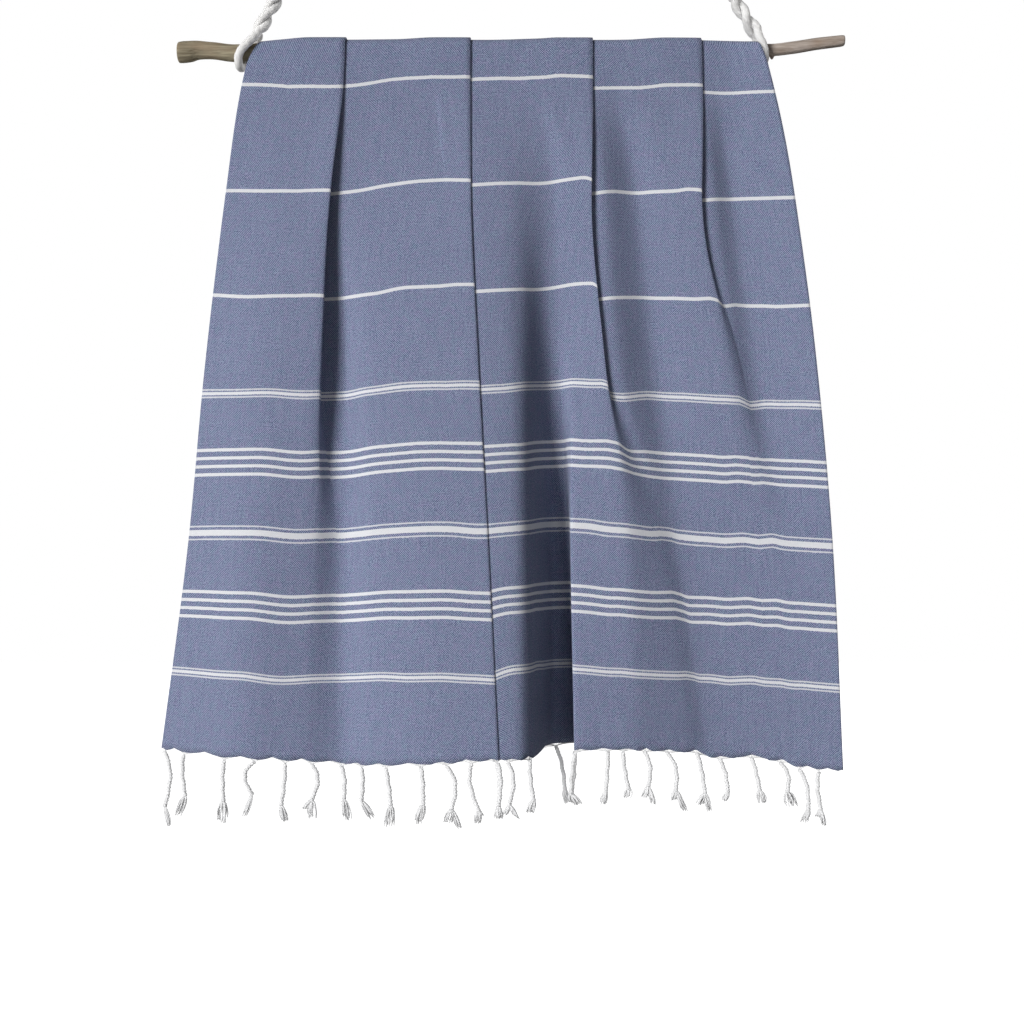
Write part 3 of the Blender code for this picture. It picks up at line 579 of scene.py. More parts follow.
def cut(side, level, places):
    """The sheet's middle line at one level: the corner line's mean over the bend at each place."""
    corners = fold_corners(side, level)
    along = path_length(corners[:, :2])
    numbers = np.arange(len(along))
    at = np.interp(places, numbers, along)
    width = np.interp(at, along, corners[:, 3])
    offsets = np.linspace(-1.0, 1.0, BEND_SAMPLES)
    weights = 1.0 - np.abs(offsets) * (1.0 - BEND_EDGE)
    weights /= weights.sum()
    around = np.clip(at[:, None] + width[:, None] * offsets, 0.0, along[-1])
    return [(np.interp(around, along, corners[:, k]) * weights).sum(axis=1) for k in (0, 1, 2, 4)]

# %% [markdown]
# Cloth hangs: every thread of the warp keeps its length. So each row of points hangs below the
# one above it by the length of cloth between them, less what the folds use up sideways. That
# alone makes the woven stripes rise and dip where the folds lean, as they do on a real towel.

# %% The hanging sheet
ROWS_TURN = 8
ROWS_FRONT = 112
ROWS_BACK = 68
COLUMN_SPACING = 0.0052
DROP_SOFTNESS = 0.030
LEAST_FALL = 0.5         # of the cloth's own length, however far a row moves sideways


def softened(values, along):
    """Values along a line, each replaced by a mean with Gaussian weights around it."""
    weights = np.exp(-(((along[:, None] - along) / DROP_SOFTNESS) ** 2)) * np.gradient(along)
    return weights @ values / weights.sum(axis=1)


def hanging_sheet():
    """Points (row, column, 3) from the front hem over the stick to the back hem, and the
    length of cloth from the stick's top to each point."""
    places = fold_columns(COLUMN_SPACING)
    halves, drops = [], []
    for side, count in ((-1.0, ROWS_FRONT), (1.0, ROWS_BACK)):
        rows, lengths = [], []
        for turn in np.linspace(0.0, math.pi / 2, ROWS_TURN + 1):
            level = QUARTER_LEVEL * turn / (math.pi / 2)
            x, y, layer, _ = cut(side, level, places)
            radius = wrap_radius(x, layer)
            rows.append(np.stack([x, y * math.sin(turn), stick_heart(x) + radius * math.cos(turn)], 1))
            lengths.append(radius * turn)
        quarter = lengths[-1]
        deepest = (FRONT_LEVELS if side < 0 else BACK_LEVELS)[-1]
        x, y, _, middle = cut(side, deepest, places)
        drop = CLOTH_LENGTH / 2.0 - side * softened(middle, path_length(np.stack([x, y], 1)))
        shares = np.linspace(0.0, 1.0, count + 1)
        for share, before in zip(shares[1:], shares[:-1]):
            x, y, _, _ = cut(side, QUARTER_LEVEL + (deepest - QUARTER_LEVEL) * share, places)
            length = (drop - quarter) * (share - before)
            flat = np.hypot(x - rows[-1][:, 0], y - rows[-1][:, 1])
            fall = np.sqrt(np.maximum(length**2 - flat**2, (LEAST_FALL * length) ** 2))
            fall = softened(fall, path_length(np.stack([x, y], 1)))
            rows.append(np.stack([x, y, rows[-1][:, 2] - fall], axis=1))
            lengths.append(quarter + (drop - quarter) * share)
        halves.append(rows)
        drops.append(np.array(lengths))
    points = np.array(halves[0][::-1] + halves[1][1:])
    from_hem = np.concatenate([drops[0][-1] - drops[0][::-1], drops[0][-1] + drops[1][1:]])
    return points, from_hem


sheet_points, from_front_hem = hanging_sheet()
print("cloth grid", sheet_points.shape[:2], "front hem",
      round(float(path_length(sheet_points[0])[-1]), 4), "m along its folds")

# %% [markdown]
# ## The fringe
# The warp ends are gathered in bundles, twisted as two plies, knotted, and left as a brush
# below the knot. The table says, for each tassel of the front, where it leaves the hem, how it
# hangs, and how its brush lies; some brushes part in two. The hem itself is drawn down a little
# at each tassel and rises to a point between two of them.

# %% The tassels, from left to right
TASSELS_MM = (
    # place, knot right, knot down, sway, brush right, down, width, second brush right, down, width
    (4, 1, 73, 5.4, 6.5, 98, 5, 0, 0, 0),
    (36, 1.5, 54, -2, -8.6, 79, 12, 0, 0, 0),
    (97, -1, 53, -1, -1.5, 80, 12, 0, 0, 0),
    (137, -2.9, 42.4, -7.5, -12.3, 70, 7, 0, 0, 0),
    (176, -4.3, 54.5, 1, 0.8, 74.5, 8, 0, 0, 0),
    (210, 0.6, 46.6, 5.5, 0.6, 69.6, 10, -9.4, 55, 7),
    (247, 3.3, 43.3, 2, 7.6, 70, 11, 0, 0, 0),
    (278, 0, 43.3, 1.3, 14, 66, 8, 0, 0, 0),
    (314, 6, 48, 0.5, 3.9, 74, 12, 0, 0, 0),
    (361, 2.6, 47, 0.8, -3.1, 70.6, 10, 0, 0, 0),
    (393, 6.4, 54.8, 6, 1.3, 71.4, 10.5, 16.5, 74, 7.5),
    (425, 7.9, 58.8, -4, 7, 75, 7.5, 12, 62, 4),
    (457, 0.8, 54.3, 2.5, 1.3, 69, 6, 0, 0, 0),
    (469, 2.9, 54.5, 2, 2.9, 69, 8.5, 0, 0, 0),
    (483, 2.1, 53.3, 4.5, -2.9, 66, 6, 11.5, 66, 5),
    (515, 4.3, 51.6, -1, -0.8, 67.4, 9, 0, 0, 0),
    (618, 11.5, 58, 2, 13.3, 76.5, 7, 0, 0, 0),
    (691, -3.6, 54.5, 1, -8, 66, 6, 3, 66, 6),
    (703, -5, 53, -1, 3, 66, 12, 0, 0, 0),
    (744, -2.3, 50.3, 0.5, -5.8, 67.5, 7, 0, 0, 0),
    (763, 6.4, 47.4, -1, 4.3, 60, 9, 0, 0, 0),
    (790, 5, 45.3, 3.5, 0, 60, 7, 11.8, 64, 5),
    (820, 10.9, 48.6, 4.5, 7.5, 62, 7.5, 21.8, 70.4, 6),
    (859, 10, 52, 1.3, 3.3, 68, 8.5, 15, 71.3, 7),
    (891, 10, 43.5, 2, 5, 55, 7, 0, 0, 0),
    (931, 10, 43.5, 0.6, 13.4, 60, 11, 0, 0, 0),
    (967, 9.3, 38.5, 4.5, 14.3, 57, 14, 0, 0, 0),
    (993, 10.9, 51.9, 3.5, 5.8, 68, 7.5, 0, 0, 0),
    (1017, 2.5, 48.6, -2, -1.8, 58, 5, 5.9, 65, 6),
)
BACK_TASSELS = 28
SCALLOP_HEIGHT = 0.0042  # at most
SCALLOP_SHARE = 0.14     # of the distance between two tassels, at most
SCALLOP_REACH = 0.012    # how far up the cloth it is felt

front_tassels = np.array(TASSELS_MM) * MM
back_order = (7 * np.arange(BACK_TASSELS) + 3) % len(front_tassels)
back_tassels = front_tassels[back_order].copy()
back_tassels[:, 0] = CLOTH_WIDTH * (np.arange(BACK_TASSELS) + 0.4) / BACK_TASSELS


def scallops(across, places):
    """How far the hem rises above its mean: h (0.45 - |cos(pi t)|^0.7), t from tassel to tassel."""
    gap = np.clip(np.searchsorted(places, across) - 1, 0, len(places) - 2)
    wide = places[gap + 1] - places[gap]
    t = (across - places[gap]) / wide
    uneven = 1.0 + 0.25 * np.sin(2.3 * gap)
    height = np.minimum(SCALLOP_HEIGHT, SCALLOP_SHARE * wide) * uneven
    inside = (t > 0.0) & (t < 1.0)
    return np.where(inside, height * (0.45 - np.abs(np.cos(math.pi * np.clip(t, 0, 1))) ** 0.7), 0.0)


to_back_hem = from_front_hem[-1] - from_front_hem
for row, from_hem, tassels in ((0, from_front_hem, front_tassels), (-1, to_back_hem, back_tassels)):
    lift = scallops(path_length(sheet_points[row]), tassels[:, 0])
    sheet_points[..., 2] += lift * np.clip(1.0 - from_hem / SCALLOP_REACH, 0.0, 1.0)

# %% [markdown]
# Hand-thrown weft is never quite straight, and the cloth is pulled a little askew where it was
# pleated. So the stripes bow by a few millimetres. The table gives how far the weft stands above
# a straight line, across the cloth, for a few distances from the front hem.

# %% How the weft bows
BOW_LEVELS_MM = (120.0, 274.0, 407.0, 572.0, 704.0, 836.0, 960.0)
BOW_MM = (
    # across, at each level
    (0, 1, 0, -2, 0, -2, -1, 0),
    (60, 1, 2, -1, -4, -4, -3, 0),
    (100, 2, 3, 0, -3, -4, -3, 0),
    (150, -2, 0, -3, -2, -3, -1, 0),
    (200, 3, 5, 3, 2, 0, 1, 0),
    (240, 6, 7, 4, 3, 1, 3, 0),
    (280, 8, 8, 6, 3, 4, 7, 0),
    (320, 5, 7, 6, 6, 5, 4, 0),
    (360, 3, 4, 4, 4, 2, 2, 0),
    (400, -2, -2, 0, 2, -2, 1, 0),
    (430, -4, -2, -2, 0, -4, 1, 0),
    (480, 8, 0, -5, -6, -5, 1, 0),
    (520, 8, 2, -5, -6, -5, 0, 0),
    (560, 4, 3, -1, -5, -5, -1, 0),
    (600, 1, 2, 1, -2, -4, -1, 0),
    (640, 1, 1, 1, 0, -4, 0, 0),
    (680, -1, -1, -2, -2, -2, 2, 0),
    (720, -5, -7, -2, 2, 2, 4, 0),
    (760, -6, -6, 3, 4, 1, 2, 0),
    (800, -5, 0, -1, 0, -2, 3, 0),
    (840, -1, -4, -7, -5, -1, 4, 0),
    (870, -5, -8, -11, -6, -3, 4, 0),
    (900, -5, -8, -9, 0, 0, 4, 0),
    (930, -2, -2, -2, 0, 2, 5, 0),
    (960, 2, 0, -2, -2, 1, 6, 0),
    (1000, 2, 0, -4, -2, 0, 5, 0),
)


def stripe_slip(across, from_hem):
    """The bow at each point: smooth across the cloth, and blended between two levels."""
    table = np.array(BOW_MM) * MM
    tracks = np.stack([smooth_track(table[:, 0], bows, across) for bows in table[:, 1:].T], axis=-1)
    levels = np.array(BOW_LEVELS_MM) * MM
    place = np.interp(from_hem, levels, np.arange(len(levels)))
    below = np.minimum(place.astype(int), len(levels) - 2)
    low = np.take_along_axis(tracks, below[..., None], axis=-1)[..., 0]
    high = np.take_along_axis(tracks, below[..., None] + 1, axis=-1)[..., 0]
    return low + (high - low) * (place - below)

# %% [markdown]
# The sheet gets its thickness from its own normals, half to each side, and a rim closes it. Its
# UV map is the weaver's own measure: metres across the cloth, and metres from the front hem.

# %% Thickness for the sheet
def sheet_normals(points):
    """Unit normals of a grid: the way across times the way down."""
    return unit(np.cross(np.gradient(points, axis=1), np.gradient(points, axis=0)))


def thick_sheet(name, points, thickness, uv):
    """A closed sheet of even thickness round a grid of points."""
    rows, columns, _ = points.shape
    count = rows * columns
    index = np.arange(count).reshape(rows, columns)
    normals = sheet_normals(points)
    both = np.concatenate([(points - normals * thickness / 2).reshape(-1, 3),
                           (points + normals * thickness / 2).reshape(-1, 3)])
    outer, corners = grid_faces(index), grid_corners(uv)
    rim = np.concatenate([index[0], index[1:, -1], index[-1, -2::-1], index[-2:0:-1, 0]])
    after = np.roll(rim, -1)
    edge = np.stack([after, rim, rim + count, after + count], axis=1)
    flat_uv = uv.reshape(-1, 2)
    edge_uv = flat_uv[edge % count].reshape(-1, 2)
    inner = (outer + count)[:, ::-1]
    inner_uv = corners.reshape(-1, 4, 2)[:, ::-1].reshape(-1, 2)
    return make_piece(name, both, [outer, inner, edge], np.concatenate([corners, inner_uv, edge_uv]))


across = path_length(sheet_points)
across = across * CLOTH_WIDTH / across[:, -1:]
cloth_uv = np.stack([across, from_front_hem - stripe_slip(across, from_front_hem)], axis=-1)
towel = thick_sheet("hammam_towel", sheet_points, SHEET, cloth_uv)
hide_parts("towel_cloth")

# %% [markdown]
# A tassel is made of the same simple thing over and over: a thin tube along a path. Threads fan
# in from the hem, two plies wind about each other, a ring stands for the knot, and twenty loose
# ends make each brush. One call carries the round profile along all tubes of a kind at once.

# %% Tassel parts
PLY_RADIUS = 0.00175
PLY_OFFSET = 0.00130
PLY_PITCH = 0.0085
HEART_STEPS = 30
SWAY_GAIN = 1.35         # the middle swings this much wider than the table's sway
WOBBLE = 0.0006
WOBBLE_DEPTH = 0.0012
KNOT_RADIUS = 0.0019     # of the ring that stands for the knot
KNOT_YARN = 0.0012
KNOT_TILT = 0.35
KNOT_STEPS = 13
BRUSH_THREADS = 20
THREAD_STEPS = 6         # places along one loose end or fan thread
BRUSH_FAN = 0.80         # half a brush's spread, as a share of its width in the table
BRUSH_DEPTH = 0.55       # its spread from front to back, as a share of that
BRUSH_LENGTHS = (0.78, 1.04)
BRUSH_RADIUS = 0.00100   # of one loose end
BRUSH_THINNING = 0.55
CURL = 0.0007
FAN_DROP = 0.0038        # how far below the hem a tassel's plies begin
FAN_THREADS = 8
FAN_ENDS = (0.004, 0.006)  # how far the fans reach at the hem's two ends
FAN_BEND = (0.62, 0.18)  # shares of the way, sideways and down, at which a thread bends
HEM_MARGIN = 0.0005
THREAD_RADIUS = 0.00032
THREAD_BITE = 0.0004     # how far a thread starts inside the cloth


def hem_point(hem, run, place):
    """Points on the hem at places along it."""
    return np.stack([np.interp(place, run, hem[:, axis]) for axis in range(3)], axis=-1)


def tassel_hearts(tops, rows):
    """Middle lines from hem to knot: straight, plus sway sin(pi t^0.8), sideways, plus a wobble."""
    t = np.linspace(0.0, 1.0, HEART_STEPS)
    number = np.arange(len(rows))[:, None]
    bulge = rows[:, 3:4] * SWAY_GAIN * np.sin(math.pi * t**0.8)
    wobble = WOBBLE * np.sin(17.0 * t + 2.1 * number) * np.sin(math.pi * t)
    x = rows[:, 1:2] * t + bulge + wobble
    y = WOBBLE_DEPTH * np.sin(math.pi * t) * np.sin(1.7 * number)
    z = -rows[:, 2:3] * t
    return tops[:, None] + np.stack([x, y, z], axis=-1)


def plies(hearts):
    """Two plies: heart + offset (cos, sin) of a turn that grows along the heart."""
    turn = 2.0 * math.pi * path_length(hearts) / PLY_PITCH + np.arange(len(hearts))[:, None]
    turn = np.concatenate([turn, turn + math.pi])
    away = PLY_OFFSET * np.stack([np.cos(turn), np.sin(turn), 0.0 * turn], axis=-1)
    return sweep(np.concatenate([hearts, hearts]) + away, PLY_RADIUS, 6, (0.0, 1.0, 0.0))


def knots_of(hearts):
    """A tilted ring of one ply round each heart's end."""
    turn = np.linspace(0.0, 2.0 * math.pi, KNOT_STEPS)
    number = np.arange(len(hearts))[:, None]
    tilt = KNOT_TILT * np.sin(2.9 * number) * np.sin(turn)
    ring = np.stack([np.cos(turn) + 0.0 * tilt, np.sin(turn) + 0.0 * tilt, tilt], axis=-1)
    return sweep(hearts[:, -1:] + KNOT_RADIUS * ring, KNOT_YARN, 6, (0.0, 0.0, 1.0))


def brush(starts, ends, widths, seed):
    """Loose ends: start + (end - start) t + width * spread * t^0.45 (1 - 0.3 t^3)."""
    random = np.random.default_rng(seed)
    size = (len(starts), BRUSH_THREADS)
    angle = random.uniform(0.0, 2.0 * math.pi, size)
    reach = np.sqrt(random.uniform(0.0, 1.0, size))
    length = random.uniform(*BRUSH_LENGTHS, size + (1,))
    t = np.linspace(0.0, 1.0, THREAD_STEPS)
    fan = BRUSH_FAN * widths[:, None, None] * t**0.45 * (1.0 - 0.3 * t**3)
    middle = starts[:, None, None] + (ends - starts)[:, None, None] * (length * t)[..., None]
    x = fan * (reach * np.cos(angle))[..., None]
    y = BRUSH_DEPTH * fan * (reach * np.sin(angle))[..., None]
    curl = CURL * np.sin(5.0 * t + 6.0 * angle[..., None]) * t
    paths = (middle + np.stack([x + curl, y, 0.0 * x], axis=-1)).reshape(-1, THREAD_STEPS, 3)
    return sweep(paths, BRUSH_RADIUS * (1.0 - BRUSH_THINNING * t**2), 4, (0.0, 1.0, 0.0))


def fans(hem, run, rows, tops):
    """Threads that leave the hem on both sides of a tassel and run into its top."""
    places = rows[:, 0]
    half = np.diff(places) / 2.0
    left = np.concatenate([FAN_ENDS[:1], half])[:, None]
    right = np.concatenate([half, FAN_ENDS[1:]])[:, None]
    share = (np.arange(FAN_THREADS) + 0.4) / FAN_THREADS
    from_place = np.concatenate([places[:, None] - left * share, places[:, None] + right * share], 1)
    from_place = np.clip(from_place, HEM_MARGIN, run[-1] - HEM_MARGIN)
    start = (hem_point(hem, run, from_place) + (0.0, 0.0, THREAD_BITE))[:, :, None]
    end = tops[:, None, None]
    bend = start + (end - start) * (FAN_BEND[0], FAN_BEND[0], FAN_BEND[1]) - (0.0, 0.0, THREAD_BITE)
    t = np.linspace(0.0, 1.0, THREAD_STEPS)[:, None]
    paths = start * (1 - t) ** 2 + 2 * bend * t * (1 - t) + end * t**2
    return sweep(paths.reshape(-1, THREAD_STEPS, 3), THREAD_RADIUS, 3, (0.0, 1.0, 0.0))


def fringe(name, hem, rows, seed):
    """All tassels of one hem, as one mesh."""
    run = path_length(hem)
    tops = hem_point(hem, run, rows[:, 0]) - (0.0, 0.0, FAN_DROP)
    rows = rows.copy()
    rows[:, [2, 5]] -= FAN_DROP
    hearts = tassel_hearts(tops, rows)
    two = rows[:, 9] > 0
    starts = np.concatenate([hearts[:, -1], hearts[two, -1]])
    ends = np.concatenate([rows[:, 4:6], rows[two, 7:9]])
    ends = np.concatenate([tops, tops[two]]) + np.stack([ends[:, 0], 0 * ends[:, 0], -ends[:, 1]], 1)
    widths = np.concatenate([rows[:, 6], rows[two, 9]])
    loose = brush(starts, ends, widths, seed)
    return tube_piece(name, [fans(hem, run, rows, tops), plies(hearts), knots_of(hearts), loose])


tassels_front = fringe("fringe_tassels_front", sheet_points[0], front_tassels, 3)
tassels_back = fringe("fringe_tassels_back", sheet_points[-1], back_tassels, 5)
for piece, node in ((tassels_front, "fringe_front"), (tassels_back, "fringe_back")):
    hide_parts(node)

# %% [markdown]
# ## Materials
# A small helper makes one node at a time, and links or sets its inputs, so each material below
# reads like a recipe. Values that stay the same all over a piece are set on the shader itself.

# %% Helpers for node recipes
def add(tree, kind, inputs=None, **settings):
    """A node with its settings; each input is a value or another node's output."""
    made = tree.nodes.new(kind)
    for key, value in settings.items():
        setattr(made, key, value)
    for key, value in (inputs or {}).items():
        if isinstance(value, bpy.types.NodeSocket):
            tree.links.new(value, made.inputs[key])
        else:
            made.inputs[key].default_value = value
    return made


def calc(tree, operation, *values, clamp=False):
    """The result of one Math node."""
    inputs = dict(enumerate(values))
    return add(tree, "ShaderNodeMath", inputs, operation=operation, use_clamp=clamp).outputs[0]


def swing(tree, wave, strength, base, clamp=False):
    """base + strength (wave - 0.5), for a wave that is about 0.5 on average."""
    centred = calc(tree, "SUBTRACT", wave, 0.5)
    return calc(tree, "MULTIPLY_ADD", centred, strength, base, clamp=clamp)


def noise(tree, vector, scales, detail=2.0, roughness=0.5):
    """The value of a Noise Texture with a scale for each axis, about 0.5 on average."""
    stretched = add(tree, "ShaderNodeVectorMath", {0: vector, 1: scales}, operation="MULTIPLY")
    inputs = {"Vector": stretched.outputs[0], "Scale": 1.0, "Detail": detail, "Roughness": roughness}
    return add(tree, "ShaderNodeTexNoise", inputs).outputs["Fac"]


def mixed(tree, factor, dark, light):
    """A colour between two colours; the factor is held between 0 and 1."""
    return add(tree, "ShaderNodeMix", {0: factor, 6: dark, 7: light}, data_type="RGBA").outputs[2]


def map_axes(tree):
    """The UV map in metres, as a vector and as its two numbers."""
    uv = add(tree, "ShaderNodeUVMap", uv_map="UVMap").outputs[0]
    return uv, *add(tree, "ShaderNodeSeparateXYZ", {0: uv}).outputs[:2]


def finish_for(name, **constants):
    """A material with its Principled BSDF; constants go on the shader's own sockets."""
    material = bpy.data.materials.new(name)
    material.use_nodes = True
    shader = material.node_tree.nodes["Principled BSDF"]
    for key, value in constants.items():
        shader.inputs[key.replace("_", " ")].default_value = value
    return material, material.node_tree, shader


def paint(tree, shader, colour, height, strength, distance):
    """Links a colour, and a bump made from a height, to the shader."""
    bump = add(tree, "ShaderNodeBump", {"Height": height, "Strength": strength, "Distance": distance})
    tree.links.new(colour, shader.inputs["Base Color"])
    tree.links.new(bump.outputs[0], shader.inputs["Normal"])


def dress(piece, material):
    """Gives a piece its material."""
    piece.data.materials.clear()
    piece.data.materials.append(material)

# %% [markdown]
# ### Woven cotton
# The cloth is woven from indigo weft on a pale warp, in a small diamond pattern. So its colour
# is a fine speckle of dark and pale, with streaks where a yarn is thicker. The stripes are rows
# of undyed weft at fixed distances from the nearer hem, as on the loom, so one table of
# distances and widths paints both ends of the towel.

# %% The stripes, measured from the nearer hem
STRIPES_MM = (
    # distance from the hem, line offsets, line width, thin line offsets
    (98.5, (0.0,), 3.8, (-4.6, 4.6)),
    (185.0, (-15.6, -5.2, 5.2, 15.6), 4.0, ()),
    (274.5, (0.0,), 7.5, (-8.2, 8.2)),
    (364.0, (-15.6, -5.2, 5.2, 15.6), 4.0, ()),
    (450.5, (0.0,), 3.8, (-4.6, 4.6)),
    (572.0, (0.0,), 4.3, ()),
    (704.0, (0.0,), 4.3, ()),
    (836.0, (0.0,), 4.3, ()),
)
MIDDLE_STRIPE = STRIPES_MM[-1][0] * MM  # the one that both ends share
THIN_LINE_MM = 2.0
THIN_STRENGTH = 0.80
RAGGED_EDGE = 0.0011
DIAMOND = 0.0027                        # spacing of the woven diamonds
INDIGO_DARK = (0.060, 0.080, 0.165, 1.0)
INDIGO_LILAC = (0.345, 0.335, 0.500, 1.0)
INDIGO_TEAL = (0.285, 0.365, 0.480, 1.0)
UNDYED_DARK = (0.60, 0.61, 0.66, 1.0)
UNDYED = (0.80, 0.80, 0.80, 1.0)

woven, tree, shader = finish_for("woven_cotton", Roughness=0.86, Sheen_Weight=0.10,
                                 Sheen_Roughness=0.5, Specular_IOR_Level=0.15)
uv, u, v = map_axes(tree)
patchy = noise(tree, uv, (60.0, 60.0, 1.0), 3.0)
jitter = noise(tree, uv, (80.0, 80.0, 1.0))
speckle = noise(tree, uv, (520.0, 560.0, 1.0), 1.0, 0.6)
warp_streak = noise(tree, uv, (420.0, 22.0, 1.0), 2.0, 0.6)
weft_streak = noise(tree, uv, (24.0, 460.0, 1.0), 2.0, 0.6)
tint = noise(tree, uv, (110.0, 110.0, 1.0), 3.0, 0.7)

waves = []
for yarn, shift in ((u, 6.0), (v, -5.0)):
    turn = calc(tree, "MULTIPLY_ADD", yarn, 2.0 * math.pi / DIAMOND, calc(tree, "MULTIPLY", jitter, shift))
    waves.append(calc(tree, "COSINE", turn))
diamonds = calc(tree, "MULTIPLY", *waves)
shade = calc(tree, "MULTIPLY_ADD", diamonds, calc(tree, "MULTIPLY", patchy, 6.0), 0.5)
for wave, strength in ((speckle, 5.2), (warp_streak, 1.5), (weft_streak, 0.8)):
    shade = swing(tree, wave, strength, shade)
tint = calc(tree, "MULTIPLY_ADD", tint, 3.0, -1.0, clamp=True)
cloth_colour = mixed(tree, shade, INDIGO_DARK, mixed(tree, tint, INDIGO_LILAC, INDIGO_TEAL))

from_middle = calc(tree, "ABSOLUTE", calc(tree, "SUBTRACT", v, MIDDLE_STRIPE))
to_hem = swing(tree, speckle, RAGGED_EDGE, calc(tree, "SUBTRACT", MIDDLE_STRIPE, from_middle))
mask = 0.0
for distance, offsets, width, thin_offsets in STRIPES_MM:
    lines = [(offset, width, 1.0) for offset in offsets]
    lines += [(offset, THIN_LINE_MM, THIN_STRENGTH) for offset in thin_offsets]
    for offset, wide, strength in lines:
        line = calc(tree, "COMPARE", to_hem, (distance + offset) * MM, wide / 2 * MM)
        mask = calc(tree, "MULTIPLY_ADD", line, strength, mask)
paleness = calc(tree, "MULTIPLY_ADD", speckle, 0.9, -0.05, clamp=True)
colour = mixed(tree, mask, cloth_colour, mixed(tree, paleness, UNDYED_DARK, UNDYED))
paint(tree, shader, colour, calc(tree, "MULTIPLY_ADD", mask, 0.3, shade), 0.35, 0.0005)
dress(towel, woven)

# %% [markdown]
# ### Cotton yarn
# The cords, whippings and tassels are the same undyed cotton at different scales. So one node
# group makes its fibres: streaks that run askew along the yarn, from the UV map, with their
# scale as an input. Each material places it with its own values.

# %% The cotton fibre group
YARN_COLOURS = {
    # name: its dark and its pale
    "cord": ((0.48, 0.475, 0.468, 1.0), (0.64, 0.634, 0.625, 1.0)),
    "fringe": ((0.54, 0.54, 0.545, 1.0), (0.70, 0.70, 0.705, 1.0)),
}

fibre = bpy.data.node_groups.new("cotton_fibre", "ShaderNodeTree")
for socket, way, kind in (("Scale", "INPUT", "Float"), ("Slant", "INPUT", "Float"),
                          ("Dark", "INPUT", "Color"), ("Pale", "INPUT", "Color"),
                          ("Colour", "OUTPUT", "Color"), ("Height", "OUTPUT", "Float")):
    fibre.interface.new_socket(socket, in_out=way, socket_type="NodeSocket" + kind)
given = add(fibre, "NodeGroupInput").outputs
_, around, along = map_axes(fibre)
slanted = calc(fibre, "MULTIPLY_ADD", along, given["Slant"], around)
lengthwise = calc(fibre, "MULTIPLY", along, 0.14)
yarn_axes = add(fibre, "ShaderNodeCombineXYZ", {0: slanted, 1: lengthwise}).outputs[0]
scaled = add(fibre, "ShaderNodeVectorMath", {0: yarn_axes, "Scale": given["Scale"]}, operation="SCALE")
strands = noise(fibre, scaled.outputs[0], (1.0, 1.0, 1.0), 3.0, 0.6)
worn = noise(fibre, add(fibre, "ShaderNodeTexCoord").outputs["Object"], (60.0, 60.0, 60.0))
tone = swing(fibre, strands, 1.5, calc(fibre, "MULTIPLY_ADD", worn, 0.6, 0.25), clamp=True)
cotton_colour = mixed(fibre, tone, given["Dark"], given["Pale"])
add(fibre, "NodeGroupOutput", {"Colour": cotton_colour, "Height": strands})


def cotton(name, scale, slant, depth, scatter):
    """A cotton material that uses the fibre group at its own scale."""
    material, tree, shader = finish_for(name + "_cotton", Roughness=0.9, Sheen_Weight=0.3,
                                        Sheen_Roughness=0.5, Specular_IOR_Level=0.15,
                                        Subsurface_Weight=scatter, Subsurface_Scale=0.012,
                                        Subsurface_Radius=(1.0, 1.0, 1.0))
    dark, pale = YARN_COLOURS[name]
    inputs = {"Scale": scale, "Slant": slant, "Dark": dark, "Pale": pale}
    group = add(tree, "ShaderNodeGroup", inputs, node_tree=fibre).outputs
    paint(tree, shader, group["Colour"], group["Height"], 0.5, depth)
    return material


cord_cotton = cotton("cord", 1300.0, 0.8, 0.0003, 1.0)
fringe_cotton = cotton("fringe", 2200.0, 0.5, 0.0001, 0.0)
for piece in (*cords.values(), *knots.values()):
    dress(piece, cord_cotton)
for piece in (tassels_front, tassels_back):
    dress(piece, fringe_cotton)

# %% [markdown]
# ### Driftwood
# Sun and salt leave wood grey-brown, with darker grain lines along it. The grain is noise that
# is stretched about fourteen times along the stick, on Object coordinates, and the left half
# keeps more of its olive tone than the right.

# %% The driftwood's material
LEFT_WOOD = ((0.125, 0.100, 0.062, 1.0), (0.390, 0.345, 0.240, 1.0))   # dark, pale
RIGHT_WOOD = ((0.250, 0.200, 0.165, 1.0), (0.600, 0.520, 0.460, 1.0))
WOOD_BLOTCH = (0.30, 0.20, 0.13, 1.0)
WOOD_TURNS = 0.3  # x to the left and right of which the wood has its own tone

wood, tree, shader = finish_for("driftwood", Roughness=0.8, Specular_IOR_Level=0.25)
place = add(tree, "ShaderNodeTexCoord").outputs["Object"]
x, y, z = add(tree, "ShaderNodeSeparateXYZ", {0: place}).outputs
bent = calc(tree, "MULTIPLY_ADD", noise(tree, place, (14.0, 14.0, 14.0)), 0.008, z)
grain_place = add(tree, "ShaderNodeCombineXYZ", {0: x, 1: y, 2: bent}).outputs[0]
broad = noise(tree, grain_place, (14.0, 190.0, 190.0), 3.0, 0.6)
fine = noise(tree, grain_place, (60.0, 900.0, 900.0), 3.0, 0.6)
blotch = noise(tree, place, (30.0, 60.0, 60.0))
tone = swing(tree, fine, 0.9, swing(tree, broad, 2.4, 0.5), clamp=True)
rightness = add(tree, "ShaderNodeMapRange", {0: x, 1: -WOOD_TURNS, 2: WOOD_TURNS}).outputs[0]
wood_colour = mixed(tree, rightness, mixed(tree, tone, *LEFT_WOOD), mixed(tree, tone, *RIGHT_WOOD))
blotched = calc(tree, "MULTIPLY_ADD", blotch, 1.6, -0.72, clamp=True)
wood_colour = mixed(tree, blotched, wood_colour, WOOD_BLOTCH)
paint(tree, shader, wood_colour, calc(tree, "MULTIPLY_ADD", fine, 0.6, broad), 0.6, 0.0012)
dress(stick, wood)

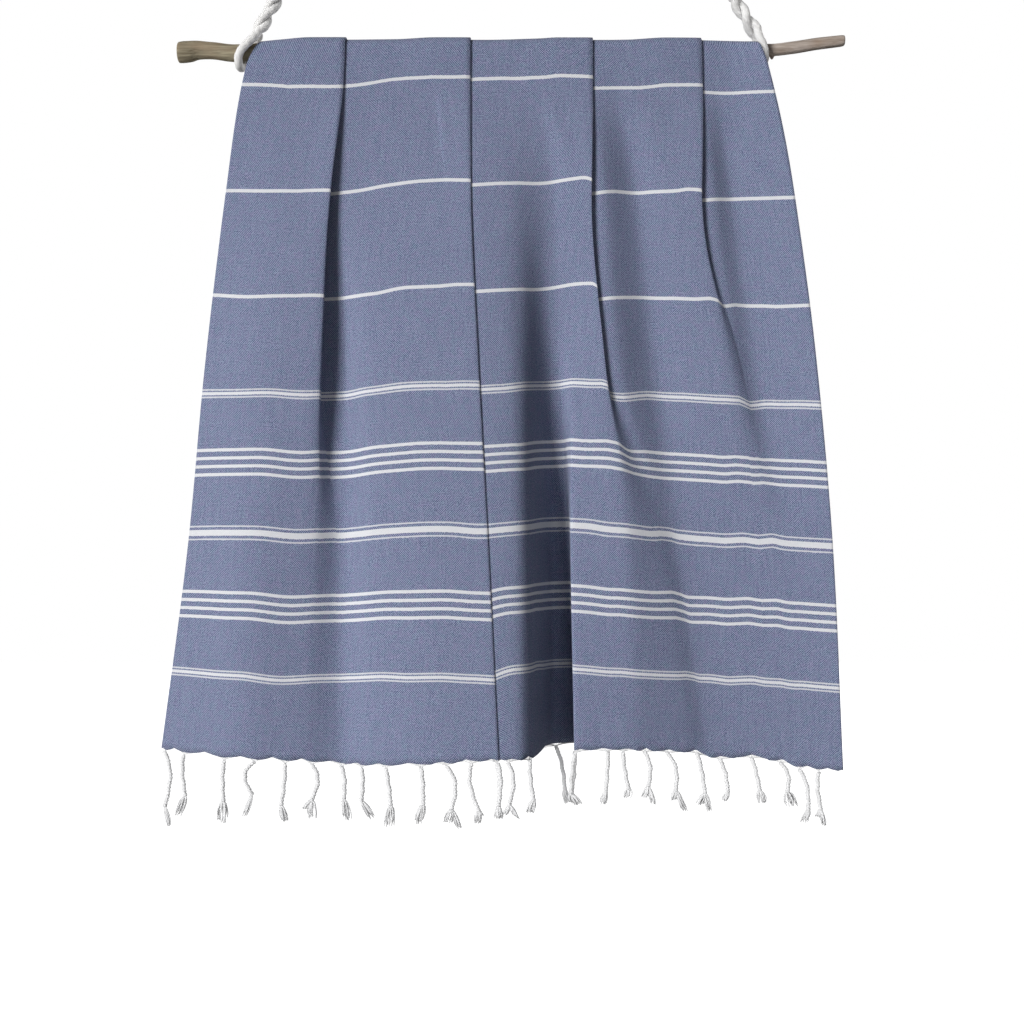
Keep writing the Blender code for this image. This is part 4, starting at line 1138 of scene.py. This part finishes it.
# %% [markdown]
# ## Floor and light
# The light is a bright studio: a big soft key far off to the left, in front and above, and a
# very weak fill almost in front, so that the deep fold stays dark. A light from behind shows
# the back of the towel and never reaches its front. Undyed cotton lets light through and looks
# paler than its surface alone, so a wide lamp in front is linked to the cords and tassels
# only. The world is plain white to the camera and dimmer as a light, so the folds keep their
# shade on a white ground. The floor is plain and glows white for the camera, and its own
# colour is a mid grey, so that it throws little light up under the folds.

# %% Studio
AMBIENT = 0.07
FLOOR_LEVEL = -1.55
FLOOR_REACH = 6.0
WHITE = (1.0, 1.0, 1.0, 1.0)
MID_GREY = (0.30, 0.30, 0.30, 1.0)
LIT_PLACE = (0.0, 0.0, -0.6)  # what every lamp looks at
LAMPS = (
    # name, place, size, power
    ("key", (-7.8, -8.2, 1.4), 4.4, 1520.0),
    ("fill", (1.0, -6.0, 0.4), 2.1, 22.0),
    ("back", (5.0, 7.5, 1.5), 5.0, 600.0),
    ("cotton_light", (0.5, -5.5, -0.4), 6.0, 200.0),
)

world = bpy.data.worlds.new("studio")
world.use_nodes = True
bpy.context.scene.world = world
tree = world.node_tree
tree.nodes.clear()
lit, seen = (add(tree, "ShaderNodeBackground", {"Color": WHITE, "Strength": strength}).outputs[0]
             for strength in (AMBIENT, 1.0))
ray = add(tree, "ShaderNodeLightPath").outputs["Is Camera Ray"]
sky = add(tree, "ShaderNodeMixShader", {0: ray, 1: lit, 2: seen}).outputs[0]
add(tree, "ShaderNodeOutputWorld", {0: sky})


def soft_light(name, place, size, power):
    """A square area light that looks at the lit place."""
    light = bpy.data.lights.new(name, "AREA")
    light.size = size
    light.energy = power
    holder = set_up(name, light)
    away = np.subtract(place, LIT_PLACE)
    flat = math.hypot(away[0], away[1])
    holder.location = place
    holder.rotation_euler = (math.atan2(flat, away[2]), 0.0, math.atan2(away[0], -away[1]))
    return holder


lamps = {lamp[0]: soft_light(*lamp) for lamp in LAMPS}
undyed_pieces = bpy.data.collections.new("undyed_cotton")
for piece in (*cords.values(), *knots.values(), tassels_front, tassels_back):
    undyed_pieces.objects.link(piece)
lamps["cotton_light"].light_linking.receiver_collection = undyed_pieces

floor_points = [(x * FLOOR_REACH, y * FLOOR_REACH, FLOOR_LEVEL)
                for x, y in ((-1, -1), (1, -1), (1, 1), (-1, 1))]
floor_mesh = bpy.data.meshes.new("floor")
floor_mesh.from_pydata(floor_points, [], [(0, 1, 2, 3)])
floor = set_up("floor", floor_mesh)
pale_floor, tree, shader = finish_for("pale_floor", Roughness=0.9, Base_Color=MID_GREY,
                                      Emission_Color=WHITE)
camera_ray = add(tree, "ShaderNodeLightPath").outputs["Is Camera Ray"]
tree.links.new(camera_ray, shader.inputs["Emission Strength"])
dress(floor, pale_floor)
bpy.context.scene.view_settings.view_transform = "Standard"
print("lamps:", ", ".join(lamps))
